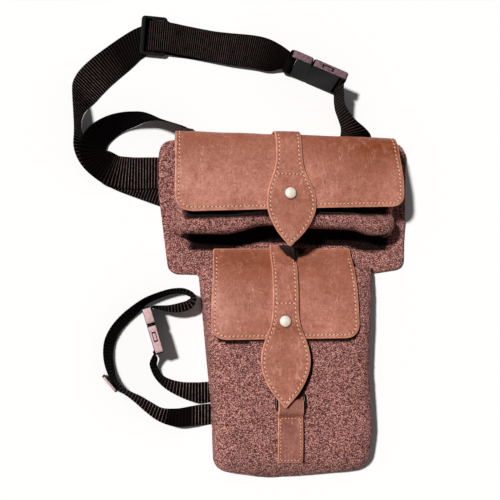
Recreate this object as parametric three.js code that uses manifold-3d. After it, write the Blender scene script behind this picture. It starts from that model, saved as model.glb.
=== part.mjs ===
// A thigh bag lying on its back: a T-shaped felt panel with a wide pocket above and a long pocket
// below, each closed by a leather flap, a spear-ended tongue and a snap, with a webbing waist belt
// and a webbing leg strap. Millimetres, +X right, +Y towards the belt, +Z up from the floor.
import * as THREE from "three";
import Module from "manifold-3d";
import { mergeVertices } from "three/addons/utils/BufferGeometryUtils.js";

const wasm = await Module();
wasm.setup();

// ---- Driving sizes ----
const gap = 0.3; // left between pieces that touch
const feltThick = 3;
const leatherThick = 2;
const webThick = 1.3;
const beltWidth = 32;
const legWidth = 20;
const snapRadius = 6;
const snapHoleRadius = 3;
const ringWire = 2.8;

// The back panel's outline: corners in order, each rounded off.
const panelCorners = [
  { x: -130, y: 165, round: 17 },
  { x: 123.5, y: 170, round: 18 },
  { x: 119.5, y: 40, round: 12 },
  { x: 85, y: 34.5, round: 5 },
  { x: 79.5, y: -62, round: 90 },
  { x: 82.5, y: -122, round: 60 },
  { x: 78, y: -158, round: 20 },
  { x: -20, y: -166, round: 60 },
  { x: -74, y: -157, round: 16 },
  { x: -76.5, y: -100, round: 80 },
  { x: -89.5, y: 32, round: 5 },
  { x: -119, y: 32.5, round: 11 },
  { x: -129.8, y: 112, round: 60 },
];

// How high the back panel rides over the webbing that passes behind it.
const panelLift = [
  { y: 180, lift: 3.6 },
  { y: 104, lift: 3.6 },
  { y: 62, lift: 0 },
  { y: -62, lift: 0 },
  { y: -70, lift: 1.8 },
  { y: -118, lift: 1.8 },
  { y: -126, lift: 0 },
  { y: -180, lift: 0 },
];

// The upper pocket's outer form from its lower edge to its mouth: crest is its front's height.
// A crease runs across it under the flap's lower edge.
const upperPocketRows = [
  { y: 66, left: -101, right: 92, crest: 16 },
  { y: 67, left: -105, right: 96, crest: 27 },
  { y: 70, left: -109, right: 100, crest: 37 },
  { y: 75, left: -111.5, right: 103, crest: 41 },
  { y: 82, left: -112.5, right: 104, crest: 41.8 },
  { y: 86, left: -112.5, right: 104, crest: 38 },
  { y: 90, left: -113, right: 104, crest: 31 },
  { y: 95, left: -113, right: 104, crest: 31 },
  { y: 100, left: -113, right: 104, crest: 38 },
  { y: 106, left: -113, right: 104, crest: 42.2 },
  { y: 130, left: -113, right: 104, crest: 42.2 },
  { y: 146, left: -113, right: 103, crest: 40 },
];

// How far the snapped tongue pulls the upper pocket's lower edge up along its width.
const upperEdgeWave = [
  { x: -120, rise: 0 },
  { x: -68, rise: 0 },
  { x: -25, rise: 9 },
  { x: 25, rise: 7 },
  { x: 58, rise: 6 },
  { x: 80, rise: 1 },
  { x: 110, rise: 3 },
];

// The lower pocket's crest from its mouth down to its sewn lower edge.
const lowerPocketRows = [
  { y: 40, crest: 16 },
  { y: 30, crest: 20.5 },
  { y: 18, crest: 24.5 },
  { y: 0, crest: 27 },
  { y: -60, crest: 27 },
  { y: -124, crest: 27 },
  { y: -140, crest: 25 },
  { y: -149, crest: 22 },
  { y: -156, crest: 17 },
  { y: -161, crest: 11 },
];

// The middle of the upper flap's leather, seen from the side: sewn root, fold, front.
const upperFlapPath = [
  { y: 149, z: 8 },
  { y: 158, z: 8 },
  { y: 164.5, z: 10 },
  { y: 167.6, z: 17 },
  { y: 168, z: 28 },
  { y: 165.3, z: 37 },
  { y: 158, z: 43 },
  { y: 147, z: 44.4 },
  { y: 120, z: 44.4 },
  { y: 100, z: 44.2 },
  { y: 89, z: 43.8 },
];

// The upper flap's side edges, by the distance from its lower edge.
const upperFlapSides = [
  { from: 0, left: -98, right: 93 },
  { from: 1.2, left: -104, right: 99 },
  { from: 4, left: -109, right: 104.5 },
  { from: 9, left: -113, right: 109 },
  { from: 17, left: -115.5, right: 111 },
  { from: 45, left: -115.5, right: 109.5 },
  { from: 78, left: -115, right: 105 },
  { from: 140, left: -114, right: 103 },
];

// The upper tongue's middle line from the fold to its tip.
const upperTonguePath = [
  { x: -6.6, y: 170.1, z: 15 },
  { x: -6.6, y: 170.8, z: 28 },
  { x: -6.6, y: 167.6, z: 38.8 },
  { x: -6.5, y: 159, z: 45.2 },
  { x: -6.4, y: 147, z: 46.8 },
  { x: -5.8, y: 120, z: 46.8 },
  { x: -4.2, y: 98, z: 46.6 },
  { x: -4, y: 84, z: 46.6 },
  { x: -4.6, y: 70, z: 44.7 },
  { x: -5.6, y: 57.2, z: 41.2 },
];

// The lower flap's outline and how high its leather lies above the floor.
const lowerFlapCorners = [
  { x: -75.5, y: 57, round: 2 },
  { x: 62.5, y: 59, round: 2 },
  { x: 66.5, y: -30.5, round: 16 },
  { x: -79, y: -32.5, round: 16 },
];
const lowerCover = [
  { y: 62, crest: 3.5 },
  { y: 54, crest: 6 },
  { y: 46, crest: 12 },
  { y: 36, crest: 20 },
  { y: 18, crest: 26 },
  { y: 0, crest: 28 },
  { y: -34, crest: 29 },
  { y: -60, crest: 30 },
  { y: -74, crest: 31.5 },
  { y: -88, crest: 34.5 },
  { y: -98, crest: 36 },
];
const lowerTongueTop = 62;
const lowerTongueTip = -96;

// A tongue's half width by the distance from its tip.
const spear = [
  { from: 0, half: 0.9 },
  { from: 5, half: 5.2 },
  { from: 10, half: 9.8 },
  { from: 17, half: 15.2 },
  { from: 25, half: 19.8 },
  { from: 34, half: 23.1 },
  { from: 42, half: 24 },
  { from: 51, half: 23.2 },
  { from: 60, half: 20.6 },
  { from: 68, half: 17.2 },
  { from: 75, half: 14.4 },
  { from: 85, half: 12.9 },
  { from: 200, half: 12.9 },
];

const upperSnapAt = { x: -5.3, y: 107.5, top: 47.8 };
const lowerSnapAt = { x: -8.5, y: -14.5, top: 34.1 };

const keeperWidth = 23.4;
const keeperMiddle = -3.1;
const ringSize = { wide: 27.2, long: 17.4, corner: 5 };

// Webbing: each row is a place on the strap's middle line. across is the compass heading, in
// degrees from +X, of the line from its low edge to its high edge, lean is how far it stands up
// from lying flat, and raise is its low edge's height above the floor.
const beltLongRows = [
  { x: -62, y: 96, across: 258, lean: 0, raise: 0 },
  { x: -100, y: 107, across: 255, lean: 0, raise: 0 },
  { x: -125, y: 115, across: 252, lean: 0, raise: 0 },
  { x: -144, y: 121.5, across: 250, lean: 0, raise: 0 },
  { x: -167, y: 130, across: 247, lean: 2, raise: 0 },
  { x: -187, y: 141, across: 229, lean: 12, raise: 0 },
  { x: -200.5, y: 152, across: 196, lean: 47, raise: 0 },
  { x: -206.5, y: 164, across: 182, lean: 74, raise: 0 },
  { x: -208.4, y: 175, across: 168, lean: 80, raise: 0 },
  { x: -208.8, y: 186, across: 148, lean: 76, raise: 0 },
  { x: -208, y: 195, across: 142, lean: 66, raise: 0 },
  { x: -206, y: 203, across: 144, lean: 52, raise: 0 },
  { x: -203.4, y: 209.5, across: 144, lean: 38, raise: 0 },
  { x: -199.5, y: 217, across: 140, lean: 26, raise: 0 },
  { x: -194.5, y: 224, across: 138, lean: 18, raise: 0 },
  { x: -187.7, y: 231.9, across: 135, lean: 11, raise: 0 },
  { x: -179.1, y: 240.3, across: 129, lean: 5, raise: 0 },
  { x: -170.4, y: 248.2, across: 124, lean: 1, raise: 0 },
  { x: -160.5, y: 256.6, across: 112, lean: 0, raise: 0 },
  { x: -151, y: 264, across: 100, lean: 0, raise: 0 },
  { x: -137, y: 270, across: 88, lean: 0, raise: 0 },
  { x: -121, y: 269.8, across: 84, lean: 0, raise: 0 },
  { x: -107, y: 267.6, across: 82, lean: 0, raise: 0 },
  { x: -61, y: 262.5, across: 81, lean: 6, raise: 0 },
  { x: -30, y: 257.5, across: 77, lean: 33, raise: 0 },
  { x: -14, y: 251.8, across: 72, lean: 60, raise: 1.5 },
  { x: -2.8, y: 247.8, across: 68.5, lean: 81, raise: 3.6 },
];
const beltEndRows = [
  { x: -3.7, y: 245.2, across: 68.5, lean: 81, raise: 4 },
  { x: -15.2, y: 248.2, across: 72, lean: 57, raise: 3.3 },
  { x: -30.6, y: 255.4, across: 77, lean: 30, raise: 3.3 },
  { x: -61, y: 261, across: 81, lean: 4, raise: 3.6 },
  { x: -104, y: 267.7, across: 83, lean: 0, raise: 3.2 },
  { x: -115, y: 268.9, across: 84, lean: 0, raise: 5.2 },
  { x: -121, y: 269.6, across: 85, lean: 0, raise: 6 },
  { x: -131, y: 270.4, across: 86, lean: 0, raise: 6 },
  { x: -138.6, y: 270.9, across: 86, lean: 0, raise: 6 },
  { x: -141.3, y: 271, across: 86, lean: 0, raise: 3.8 },
  { x: -138.6, y: 270.9, across: 86, lean: 0, raise: 1.7 },
  { x: -132.6, y: 270.5, across: 86, lean: 0, raise: 1.6 },
];
const beltBendRows = [
  { x: -91, y: 172.2, across: 78, lean: 94, raise: 0 },
  { x: -100, y: 174.8, across: 74, lean: 98, raise: 0 },
  { x: -109, y: 177.6, across: 72, lean: 103, raise: 0 },
  { x: -119, y: 180.6, across: 74, lean: 104, raise: 0 },
  { x: -129, y: 182.8, across: 78, lean: 101, raise: 0 },
  { x: -138, y: 184.3, across: 84, lean: 93, raise: 0 },
  { x: -146, y: 184.2, across: 92, lean: 84, raise: 0 },
  { x: -154, y: 182.6, across: 104, lean: 76, raise: 0 },
  { x: -165.5, y: 179.8, across: 116, lean: 68, raise: 0 },
  { x: -178, y: 173.8, across: 128, lean: 57, raise: 0 },
  { x: -189.5, y: 164, across: 146, lean: 47, raise: 1 },
  { x: -194, y: 152.5, across: 182, lean: 38, raise: 2 },
  { x: -188.5, y: 142, across: 218, lean: 24, raise: 2.2 },
  { x: -176.5, y: 134, across: 250, lean: 6, raise: 2 },
  { x: -158, y: 131.5, across: 268, lean: 0, raise: 1.8 },
  { x: -130, y: 132, across: 270, lean: 0, raise: 1.8 },
  { x: -60, y: 132, across: 270, lean: 0, raise: 1.8 },
  { x: 20, y: 132, across: 270, lean: 0, raise: 1.8 },
];
const beltRightRows = [
  { x: 49.6, y: 218.9, across: -8, lean: 84, raise: 3.4 },
  { x: 50.3, y: 210, across: -8, lean: 85, raise: 1.2 },
  { x: 51.6, y: 202, across: -6, lean: 86, raise: 0 },
  { x: 55, y: 194, across: 4, lean: 84, raise: 0 },
  { x: 61, y: 183.5, across: 6, lean: 72, raise: 0 },
  { x: 67, y: 176.5, across: 2, lean: 44, raise: 0 },
  { x: 71.5, y: 172.5, across: 0, lean: 8, raise: 0.2 },
  { x: 74, y: 166, across: 0, lean: 0, raise: 0.8 },
  { x: 80, y: 132, across: 0, lean: 0, raise: 1.2 },
];
const legLongRows = [
  { x: 58, y: -104, across: 270, lean: 0, raise: 0 },
  { x: -76, y: -104, across: 270, lean: 0, raise: 0 },
  { x: -97, y: -105.6, across: 268, lean: 24, raise: 0 },
  { x: -110, y: -106.6, across: 264, lean: 34, raise: 0 },
  { x: -125.9, y: -103.2, across: 248, lean: 54, raise: 0 },
  { x: -137.3, y: -96.1, across: 240, lean: 62, raise: 0 },
  { x: -147.2, y: -88.8, across: 236, lean: 70, raise: 0 },
  { x: -154.5, y: -84.2, across: 230, lean: 77, raise: 0 },
  { x: -163, y: -78.6, across: 219, lean: 80, raise: 0 },
  { x: -169.5, y: -71, across: 206, lean: 78, raise: 0 },
  { x: -174, y: -59, across: 184, lean: 68, raise: 0 },
  { x: -176, y: -46, across: 177, lean: 64, raise: 0 },
  { x: -174.4, y: -33.1, across: 162, lean: 60, raise: 0 },
  { x: -169.4, y: -22.2, across: 150, lean: 61, raise: 0 },
  { x: -161.4, y: -12.6, across: 138, lean: 61, raise: 0 },
  { x: -152.8, y: -4.8, across: 126, lean: 63, raise: 0 },
  { x: -141.4, y: 4.6, across: 118, lean: 72, raise: 0 },
  { x: -127.2, y: 11, across: 110, lean: 75, raise: 0 },
  { x: -115, y: 14.6, across: 100, lean: 77, raise: 0 },
  { x: -103.5, y: 14.6, across: 80, lean: 78, raise: 0 },
  { x: -95, y: 9.2, across: 8, lean: 78, raise: 0 },
  { x: -99, y: 2.2, across: -66, lean: 64, raise: 0 },
  { x: -108, y: -0.9, across: -86, lean: 62, raise: 0.2 },
  { x: -119, y: -2, across: -92, lean: 70, raise: 1.5 },
  { x: -135.4, y: -1.2, across: -90, lean: 84, raise: 4 },
];
const legShortRows = [
  { x: -48, y: -83, across: 270, lean: 0, raise: 0 },
  { x: -77, y: -83, across: 270, lean: 0, raise: 0 },
  { x: -91, y: -83, across: 269, lean: 18, raise: 0 },
  { x: -104.7, y: -80.2, across: 262, lean: 44, raise: 0 },
  { x: -117.8, y: -75, across: 250, lean: 60, raise: 0 },
  { x: -126.8, y: -68.4, across: 222, lean: 75, raise: 0 },
  { x: -131, y: -61.5, across: 184, lean: 79, raise: 0 },
  { x: -133, y: -55.3, across: 166, lean: 80, raise: 1 },
  { x: -131.4, y: -48.3, across: 150, lean: 84, raise: 3 },
];

// Where the hard fittings sit: middle, heading of the strap's run and of its high edge.
const beltSlideAt = { x: -136.2, y: 271.4, z: 4.5, run: -3, across: 87, lean: 0 };
const beltBuckleAt = { x: 26, y: 235.4, z: 19.6, run: -21.5, across: 68.5, lean: 81 };
const legBuckleAt = { x: -134.2, y: -23.2, z: 14.4, run: -72.8, across: 17.2, lean: 90 };
const legSlideAt = { x: -173.7, y: -73, z: 14.3, run: -49, across: 41, lean: 90 };

// ---- Small helpers ----
function mix(a, b, share) {
  return a + (b - a) * share;
}

function smooth(share) {
  const t = Math.min(1, Math.max(0, share));
  return t * t * (3 - 2 * t);
}

// Reads one column of a table whose key column rises or falls steadily, eased between rows.
function read(rows, key, at, column, ease = smooth) {
  const up = rows[0][key] < rows[rows.length - 1][key];
  const ordered = up ? rows : [...rows].reverse();
  if (at <= ordered[0][key]) return ordered[0][column];
  for (let i = 1; i < ordered.length; i++) {
    const [a, b] = [ordered[i - 1], ordered[i]];
    if (at <= b[key]) return mix(a[column], b[column], ease((at - a[key]) / (b[key] - a[key])));
  }
  return ordered[ordered.length - 1][column];
}

function straight(share) {
  return share;
}

function backOf(y) {
  return read(panelLift, "y", y, "lift", straight);
}

function faceOf(y) {
  return backOf(y) + feltThick;
}

function roundedOutline(corners) {
  const count = corners.length;
  const shape = new THREE.Shape();
  corners.forEach((corner, i) => {
    const here = new THREE.Vector2(corner.x, corner.y);
    const before = corners[(i + count - 1) % count];
    const after = corners[(i + 1) % count];
    const toBefore = new THREE.Vector2(before.x, before.y).sub(here);
    const toAfter = new THREE.Vector2(after.x, after.y).sub(here);
    const turn = Math.PI - Math.abs(toBefore.angleTo(toAfter));
    const room = 0.48 * Math.min(toBefore.length(), toAfter.length());
    const cut = Math.min(corner.round * Math.tan(turn / 2), room);
    const start = here.clone().addScaledVector(toBefore.normalize(), cut);
    const end = here.clone().addScaledVector(toAfter.normalize(), cut);
    if (i === 0) shape.moveTo(start.x, start.y);
    else shape.lineTo(start.x, start.y);
    shape.quadraticCurveTo(here.x, here.y, end.x, end.y);
  });
  shape.closePath();
  return shape.getPoints(5);
}

// The left and right of an outline at height y.
function spanAt(points, y) {
  const hits = [];
  points.forEach((a, i) => {
    const b = points[(i + 1) % points.length];
    if (a.y > y !== b.y > y) hits.push(mix(a.x, b.x, (y - a.y) / (b.y - a.y)));
  });
  return { y, left: Math.min(...hits), right: Math.max(...hits) };
}

// Rows across an outline from top to bottom: one at each corner point, none over `step` apart.
function rowsOf(points, step, breaks = []) {
  const edge = 0.02;
  const heights = [...points.map((p) => p.y), ...breaks];
  const high = Math.max(...points.map((p) => p.y)) - edge;
  const low = Math.min(...points.map((p) => p.y)) + edge;
  const wanted = [high, low, ...heights.filter((y) => y < high && y > low)].sort((a, b) => b - a);
  const kept = [high];
  for (const y of wanted) {
    const last = kept[kept.length - 1];
    const parts = Math.ceil((last - y) / step);
    if (last - y < 0.7 && y !== low && !breaks.includes(y)) continue;
    if (last === y) continue;
    for (let i = 1; i <= parts; i++) kept.push(mix(last, y, i / parts));
  }
  return kept.map((y) => spanAt(points, y));
}

// A closed solid through sections: each holds as many points above as below, in the same order.
function loft(sections) {
  const count = sections[0].above.length;
  const places = [];
  sections.forEach((s) => [...s.above, ...s.below].forEach((p) => places.push(p.x, p.y, p.z)));
  const above = (row, i) => row * 2 * count + i;
  const below = (row, i) => row * 2 * count + count + i;
  const faces = [];
  const quad = (a, b, c, d) => faces.push(a, b, c, a, c, d);
  const last = sections.length - 1;
  for (let row = 0; row < last; row++) {
    for (let i = 0; i < count - 1; i++) {
      quad(above(row, i), above(row + 1, i), above(row + 1, i + 1), above(row, i + 1));
      quad(below(row, i), below(row, i + 1), below(row + 1, i + 1), below(row + 1, i));
    }
    const end = count - 1;
    quad(above(row, 0), below(row, 0), below(row + 1, 0), above(row + 1, 0));
    quad(above(row, end), above(row + 1, end), below(row + 1, end), below(row, end));
  }
  for (let i = 0; i < count - 1; i++) {
    quad(above(0, i), above(0, i + 1), below(0, i + 1), below(0, i));
    quad(above(last, i), below(last, i), below(last, i + 1), above(last, i + 1));
  }
  const geometry = new THREE.BufferGeometry();
  geometry.setAttribute("position", new THREE.Float32BufferAttribute(places, 3));
  geometry.setIndex(faces);
  return facingOut(geometry);
}

function facingOut(geometry) {
  const position = geometry.attributes.position;
  const index = geometry.index.array;
  const at = (i) => new THREE.Vector3().fromBufferAttribute(position, index[i]);
  let volume = 0;
  for (let i = 0; i < index.length; i += 3) volume += at(i).dot(at(i + 1).cross(at(i + 2)));
  if (volume > 0) return geometry;
  geometry.setIndex([...index].reverse());
  return geometry;
}

function moved(geometry, change) {
  const position = geometry.attributes.position;
  for (let i = 0; i < position.count; i++) {
    const p = change(new THREE.Vector3().fromBufferAttribute(position, i));
    position.setXYZ(i, p.x, p.y, p.z);
  }
  return geometry;
}

function solid(geometry) {
  const bare = geometry.clone();
  bare.deleteAttribute("normal");
  bare.deleteAttribute("uv");
  const merged = mergeVertices(bare, 1e-4);
  const mesh = new wasm.Mesh({
    numProp: 3,
    vertProperties: merged.attributes.position.array,
    triVerts: new Uint32Array(merged.index.array),
  });
  return new wasm.Manifold(mesh);
}

function geometryOf(body) {
  const mesh = body.getMesh();
  const geometry = new THREE.BufferGeometry();
  geometry.setAttribute("position", new THREE.BufferAttribute(mesh.vertProperties, 3));
  geometry.setIndex(new THREE.BufferAttribute(mesh.triVerts, 1));
  return geometry;
}

function cutFrom(geometry, ...tools) {
  return geometryOf(tools.reduce((body, tool) => body.subtract(solid(tool)), solid(geometry)));
}

function joined(first, ...others) {
  return geometryOf(others.reduce((body, other) => body.add(solid(other)), solid(first)));
}

function block(long, wide, thick, x = 0, y = 0, z = 0) {
  return new THREE.BoxGeometry(long, wide, thick).translate(x, y, z);
}

function roundedBlock(long, wide, thick, corner, x = 0) {
  const [l, w] = [long / 2, wide / 2];
  const outline = roundedOutline([
    { x: l, y: -w, round: corner },
    { x: l, y: w, round: corner },
    { x: -l, y: w, round: corner },
    { x: -l, y: -w, round: corner },
  ]);
  const plate = new THREE.ExtrudeGeometry(new THREE.Shape(outline), { depth: thick, bevelEnabled: false });
  return plate.translate(x, 0, -thick / 2);
}

function colours(colour, roughness, metalness = 0) {
  return () => new THREE.MeshStandardMaterial({ color: colour, roughness, metalness });
}

const felt = colours(0x8c645f, 0.95);
const leather = colours(0xb06a52, 0.6);
const webbing = colours(0x1c1719, 0.85);
const plastic = colours(0x121012, 0.35);
const snapMetal = colours(0xd8cdb4, 0.3, 0.8);
const ringMetal = colours(0x1a1a1d, 0.35, 0.9);

const bag = new THREE.Group();

function add(name, geometry, material) {
  const mesh = new THREE.Mesh(geometry, material());
  mesh.name = name;
  bag.add(mesh);
  return mesh;
}

// ---- Felt ----
const panelOutline = roundedOutline(panelCorners);

function backPanel() {
  const breaks = panelLift.map((row) => row.y);
  const sections = rowsOf(panelOutline, 12, breaks).map(({ y, left, right }) => ({
    above: [new THREE.Vector3(left, y, faceOf(y)), new THREE.Vector3(right, y, faceOf(y))],
    below: [new THREE.Vector3(left, y, backOf(y)), new THREE.Vector3(right, y, backOf(y))],
  }));
  return loft(sections);
}

// The share of its full height that a pocket front has at `across`, from -1 to 1 over its width.
function archShare(across, boxiness) {
  const inside = 1 - Math.abs(Math.min(1, Math.max(-1, across))) ** boxiness;
  return inside ** (1 / boxiness);
}

// A domed body on the panel's face: rows of { y, left, right, crest }.
function dome(rows, boxiness, columns, rim) {
  const sections = rows.map(({ y, left, right, crest }) => {
    const floor = faceOf(y) + gap;
    const section = { above: [], below: [] };
    for (let i = 0; i <= columns; i++) {
      const turn = (Math.PI * i) / columns;
      const side = -Math.sign(Math.cos(turn)) * Math.abs(Math.cos(turn)) ** (2 / boxiness);
      const x = (left + right) / 2 + (side * (right - left)) / 2;
      const rise = Math.max(crest - floor - rim, 0.2) * Math.sin(turn) ** (2 / boxiness);
      section.above.push(new THREE.Vector3(x, y, floor + rim + rise));
      section.below.push(new THREE.Vector3(x, y, floor));
    }
    return section;
  });
  return loft(sections);
}

function dropped(geometry, depth) {
  return geometry.translate(0, 0, -depth);
}

// The upper pocket's right end holds less, so everything over it sinks there.
function sunk(p) {
  const floor = faceOf(p.y);
  const share = 1 - 0.1 * smooth((p.x - 35) / 70);
  return new THREE.Vector3(p.x, p.y, p.z > floor + 1 ? mix(floor, p.z, share) : p.z);
}

function pulled(p) {
  const fade = 1 - smooth((p.y - 72) / 40);
  const y = p.y + fade * read(upperEdgeWave, "x", p.x, "rise");
  return new THREE.Vector3(p.x, y, p.z + faceOf(y) - faceOf(p.y));
}

function upperPocket() {
  const outer = dome(upperPocketRows, 7, 20, 1.5);
  const inner = upperPocketRows
    .filter((r) => r.y > 68)
    .map((r) => ({ ...r, left: r.left + feltThick, right: r.right - feltThick, crest: r.crest + 0.4 }));
  const mouth = { ...inner[inner.length - 1], y: 160 };
  const room = dropped(dome([...inner, mouth], 7, 20, 1.5), feltThick + 0.4);
  return moved(moved(cutFrom(outer, room), pulled), sunk);
}

function lowerPocketWidths(y) {
  const inset = 0.8;
  const span = spanAt(panelOutline, y);
  return { left: Math.max(span.left, -89) + inset, right: Math.min(span.right, 85) - inset };
}

function lowerPocket() {
  const low = Math.min(...panelOutline.map((p) => p.y)) + 1;
  const heights = [40, 34, 28, 18, 0, -30, -62, -70, -118, -126, -133, -140, -145, -149, -153, -156];
  const ys = [...heights, -158.5, -160.5, -162, -163.2, low];
  const rows = ys.map((y) => ({ y, ...lowerPocketWidths(y), crest: read(lowerPocketRows, "y", y, "crest") }));
  rows[rows.length - 1].crest = 8;
  const outer = dome(rows, 5, 20, 3);
  const inner = rows
    .filter((r) => r.y > -159)
    .map((r) => ({ ...r, left: r.left + feltThick + 1, right: r.right - feltThick - 1 }));
  const mouth = { ...inner[0], y: 50 };
  return cutFrom(outer, dropped(dome([mouth, ...inner], 5, 20, 1), feltThick));
}

// ---- Leather ----
// A middle line as a smooth curve, with each place's distance from the far end.
function along(rows, steps) {
  const curve = new THREE.CatmullRomCurve3(
    rows.map((r) => new THREE.Vector3(r.x ?? 0, r.y, r.z)),
    false,
    "centripetal",
  );
  const length = curve.getLength();
  const places = [];
  for (const share of steps(length)) {
    const at = curve.getPointAt(share);
    const run = curve.getTangentAt(share);
    const out = new THREE.Vector3(0, -run.z, run.y).normalize();
    places.push({ at, out, from: length * (1 - share) });
  }
  return places;
}

// A strip of leather along places, with the same number of points across each.
function strip(places, columns, edges, thick = leatherThick) {
  const sections = places.map((place) => {
    const { left, right } = edges(place);
    const section = { above: [], below: [] };
    for (let i = 0; i <= columns; i++) {
      const x = mix(left, right, i / columns);
      const middle = new THREE.Vector3(x, place.at.y, place.at.z);
      section.above.push(middle.clone().addScaledVector(place.out, -thick / 2));
      section.below.push(middle.clone().addScaledVector(place.out, thick / 2));
    }
    return section;
  });
  return loft(sections);
}

// Shares of a length, `near` apart at its far end and wider elsewhere.
function sharesTo(tips, wide) {
  return (length) => {
    const fine = tips.filter((d) => d < length).map((d) => 1 - d / length);
    const start = Math.min(...fine);
    const count = Math.ceil((start * length) / wide);
    const coarse = Array.from({ length: count }, (_, i) => (start * i) / count);
    return [...coarse, ...fine.sort((a, b) => a - b)];
  };
}

function snapHole(at) {
  return new THREE.CylinderGeometry(snapHoleRadius, snapHoleRadius, 30, 16)
    .rotateX(Math.PI / 2)
    .translate(at.x, at.y, at.top);
}

// The upper flap's lower edge runs a little uphill to the right.
function slanted(p) {
  const share = 0.05 * (1 - smooth((p.y - 85) / 75));
  return new THREE.Vector3(p.x, p.z > 25 ? p.y + share * (p.x + 105) : p.y, p.z);
}

function upperFlap() {
  const places = along(upperFlapPath, sharesTo([0, 1.2, 2.4, 4, 6.5, 9, 12.5, 17, 24, 34, 45], 4));
  const edges = ({ from }) => ({
    left: read(upperFlapSides, "from", from, "left", straight),
    right: read(upperFlapSides, "from", from, "right", straight),
  });
  const flap = strip(places, 12, edges);
  return cutFrom(moved(moved(flap, slanted), sunk), snapHole(upperSnapAt));
}

const spearSteps = [0, 2, 5, 10, 17, 25, 34, 42, 51, 60, 68, 75, 85];

function tongueEdges(middleOf, stretch) {
  return ({ at, from }) => {
    const half = read(spear, "from", from / stretch, "half", straight);
    const middle = middleOf(at);
    return { left: middle - half, right: middle + half };
  };
}

function upperTongue() {
  const places = along(upperTonguePath, sharesTo(spearSteps, 6));
  const tongue = strip(places, 4, tongueEdges((at) => at.x, 1));
  return cutFrom(tongue, snapHole(upperSnapAt));
}

// How high the lower flap's underside lies: it follows the pocket and droops to its sides.
function coverAt(x, y) {
  const { left, right } = lowerPocketWidths(Math.min(y, 26));
  const across = (x - (left + right) / 2) / ((right - left) / 2);
  const crest = read(lowerCover, "y", y, "crest", straight);
  const floor = faceOf(y) + gap;
  return floor + Math.max(crest - floor, 0) * archShare(across, 5);
}

function lowerFlap() {
  const columns = 14;
  const outline = roundedOutline(lowerFlapCorners);
  const sections = rowsOf(outline, 6).map(({ y, left, right }) => {
    const section = { above: [], below: [] };
    for (let i = 0; i <= columns; i++) {
      const x = mix(left, right, i / columns);
      const under = coverAt(x, y) + 0.4;
      section.above.push(new THREE.Vector3(x, y, under + leatherThick));
      section.below.push(new THREE.Vector3(x, y, under));
    }
    return section;
  });
  return cutFrom(loft(sections), snapHole(lowerSnapAt));
}

function lowerTongue() {
  const rows = [];
  for (let y = lowerTongueTop; y > lowerTongueTip; y -= 7.9) {
    rows.push({ x: 0, y, z: read(lowerCover, "y", y, "crest", straight) + 0.4 + 1.5 * leatherThick + 1.1 });
  }
  rows.push({ x: 0, y: lowerTongueTip, z: 38 });
  const places = along(rows, sharesTo(spearSteps.map((d) => 1.1 * d), 6));
  const middleOf = (at) => mix(-9.2, -7.6, smooth((at.y - lowerTongueTip) / 80));
  return cutFrom(strip(places, 4, tongueEdges(middleOf, 1.1)), snapHole(lowerSnapAt));
}

// ---- Snaps, keeper and ring ----
function snap(at, depth) {
  const post = snapHoleRadius - 0.4;
  const profile = [
    new THREE.Vector2(0, -depth),
    new THREE.Vector2(post, -depth),
    new THREE.Vector2(post, gap),
    new THREE.Vector2(snapRadius, gap),
    new THREE.Vector2(snapRadius, 0.9),
    new THREE.Vector2(snapRadius * 0.82, 1.8),
    new THREE.Vector2(snapRadius * 0.45, 2.4),
    new THREE.Vector2(0, 2.6),
  ];
  return new THREE.LatheGeometry(profile, 24).rotateX(Math.PI / 2).translate(at.x, at.y, at.top);
}

// The keeper is a doubled strip sewn to the pocket, with a long eye for the ring at its top.
function ringKeeper() {
  const crest = (y) => read(lowerPocketRows, "y", y, "crest") + gap;
  const patch = 3.2;
  const eye = 6.5;
  const outline = new THREE.Shape();
  outline.moveTo(-148.5, crest(-148.5));
  for (let y = -144; y <= -93; y += 4) outline.lineTo(y, crest(y));
  outline.quadraticCurveTo(-89, crest(-91), -89, crest(-91) + eye / 2);
  outline.quadraticCurveTo(-89, crest(-91) + eye, -92.5, crest(-91) + eye);
  outline.lineTo(-100.5, crest(-91) + eye);
  outline.quadraticCurveTo(-104, crest(-91) + eye, -105, crest(-105) + patch);
  for (let y = -110; y >= -148; y -= 4) outline.lineTo(y, crest(y) + patch);
  outline.lineTo(-148.5, crest(-148.5) + patch);
  const slot = new THREE.Path();
  const [low, high] = [crest(-91) + 1.5, crest(-91) + eye - 1.5];
  slot.moveTo(-92, low);
  slot.quadraticCurveTo(-90.5, (low + high) / 2, -92, high);
  slot.lineTo(-101.5, high);
  slot.quadraticCurveTo(-102.8, (low + high) / 2, -101.5, low);
  outline.holes.push(slot);
  const body = new THREE.ExtrudeGeometry(outline, { depth: keeperWidth, bevelEnabled: false, curveSegments: 5 });
  const placed = body.applyMatrix4(
    new THREE.Matrix4().makeBasis(
      new THREE.Vector3(0, 1, 0),
      new THREE.Vector3(0, 0, 1),
      new THREE.Vector3(1, 0, 0),
    ),
  );
  return placed.translate(keeperMiddle - keeperWidth / 2, 0, 0);
}

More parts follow.
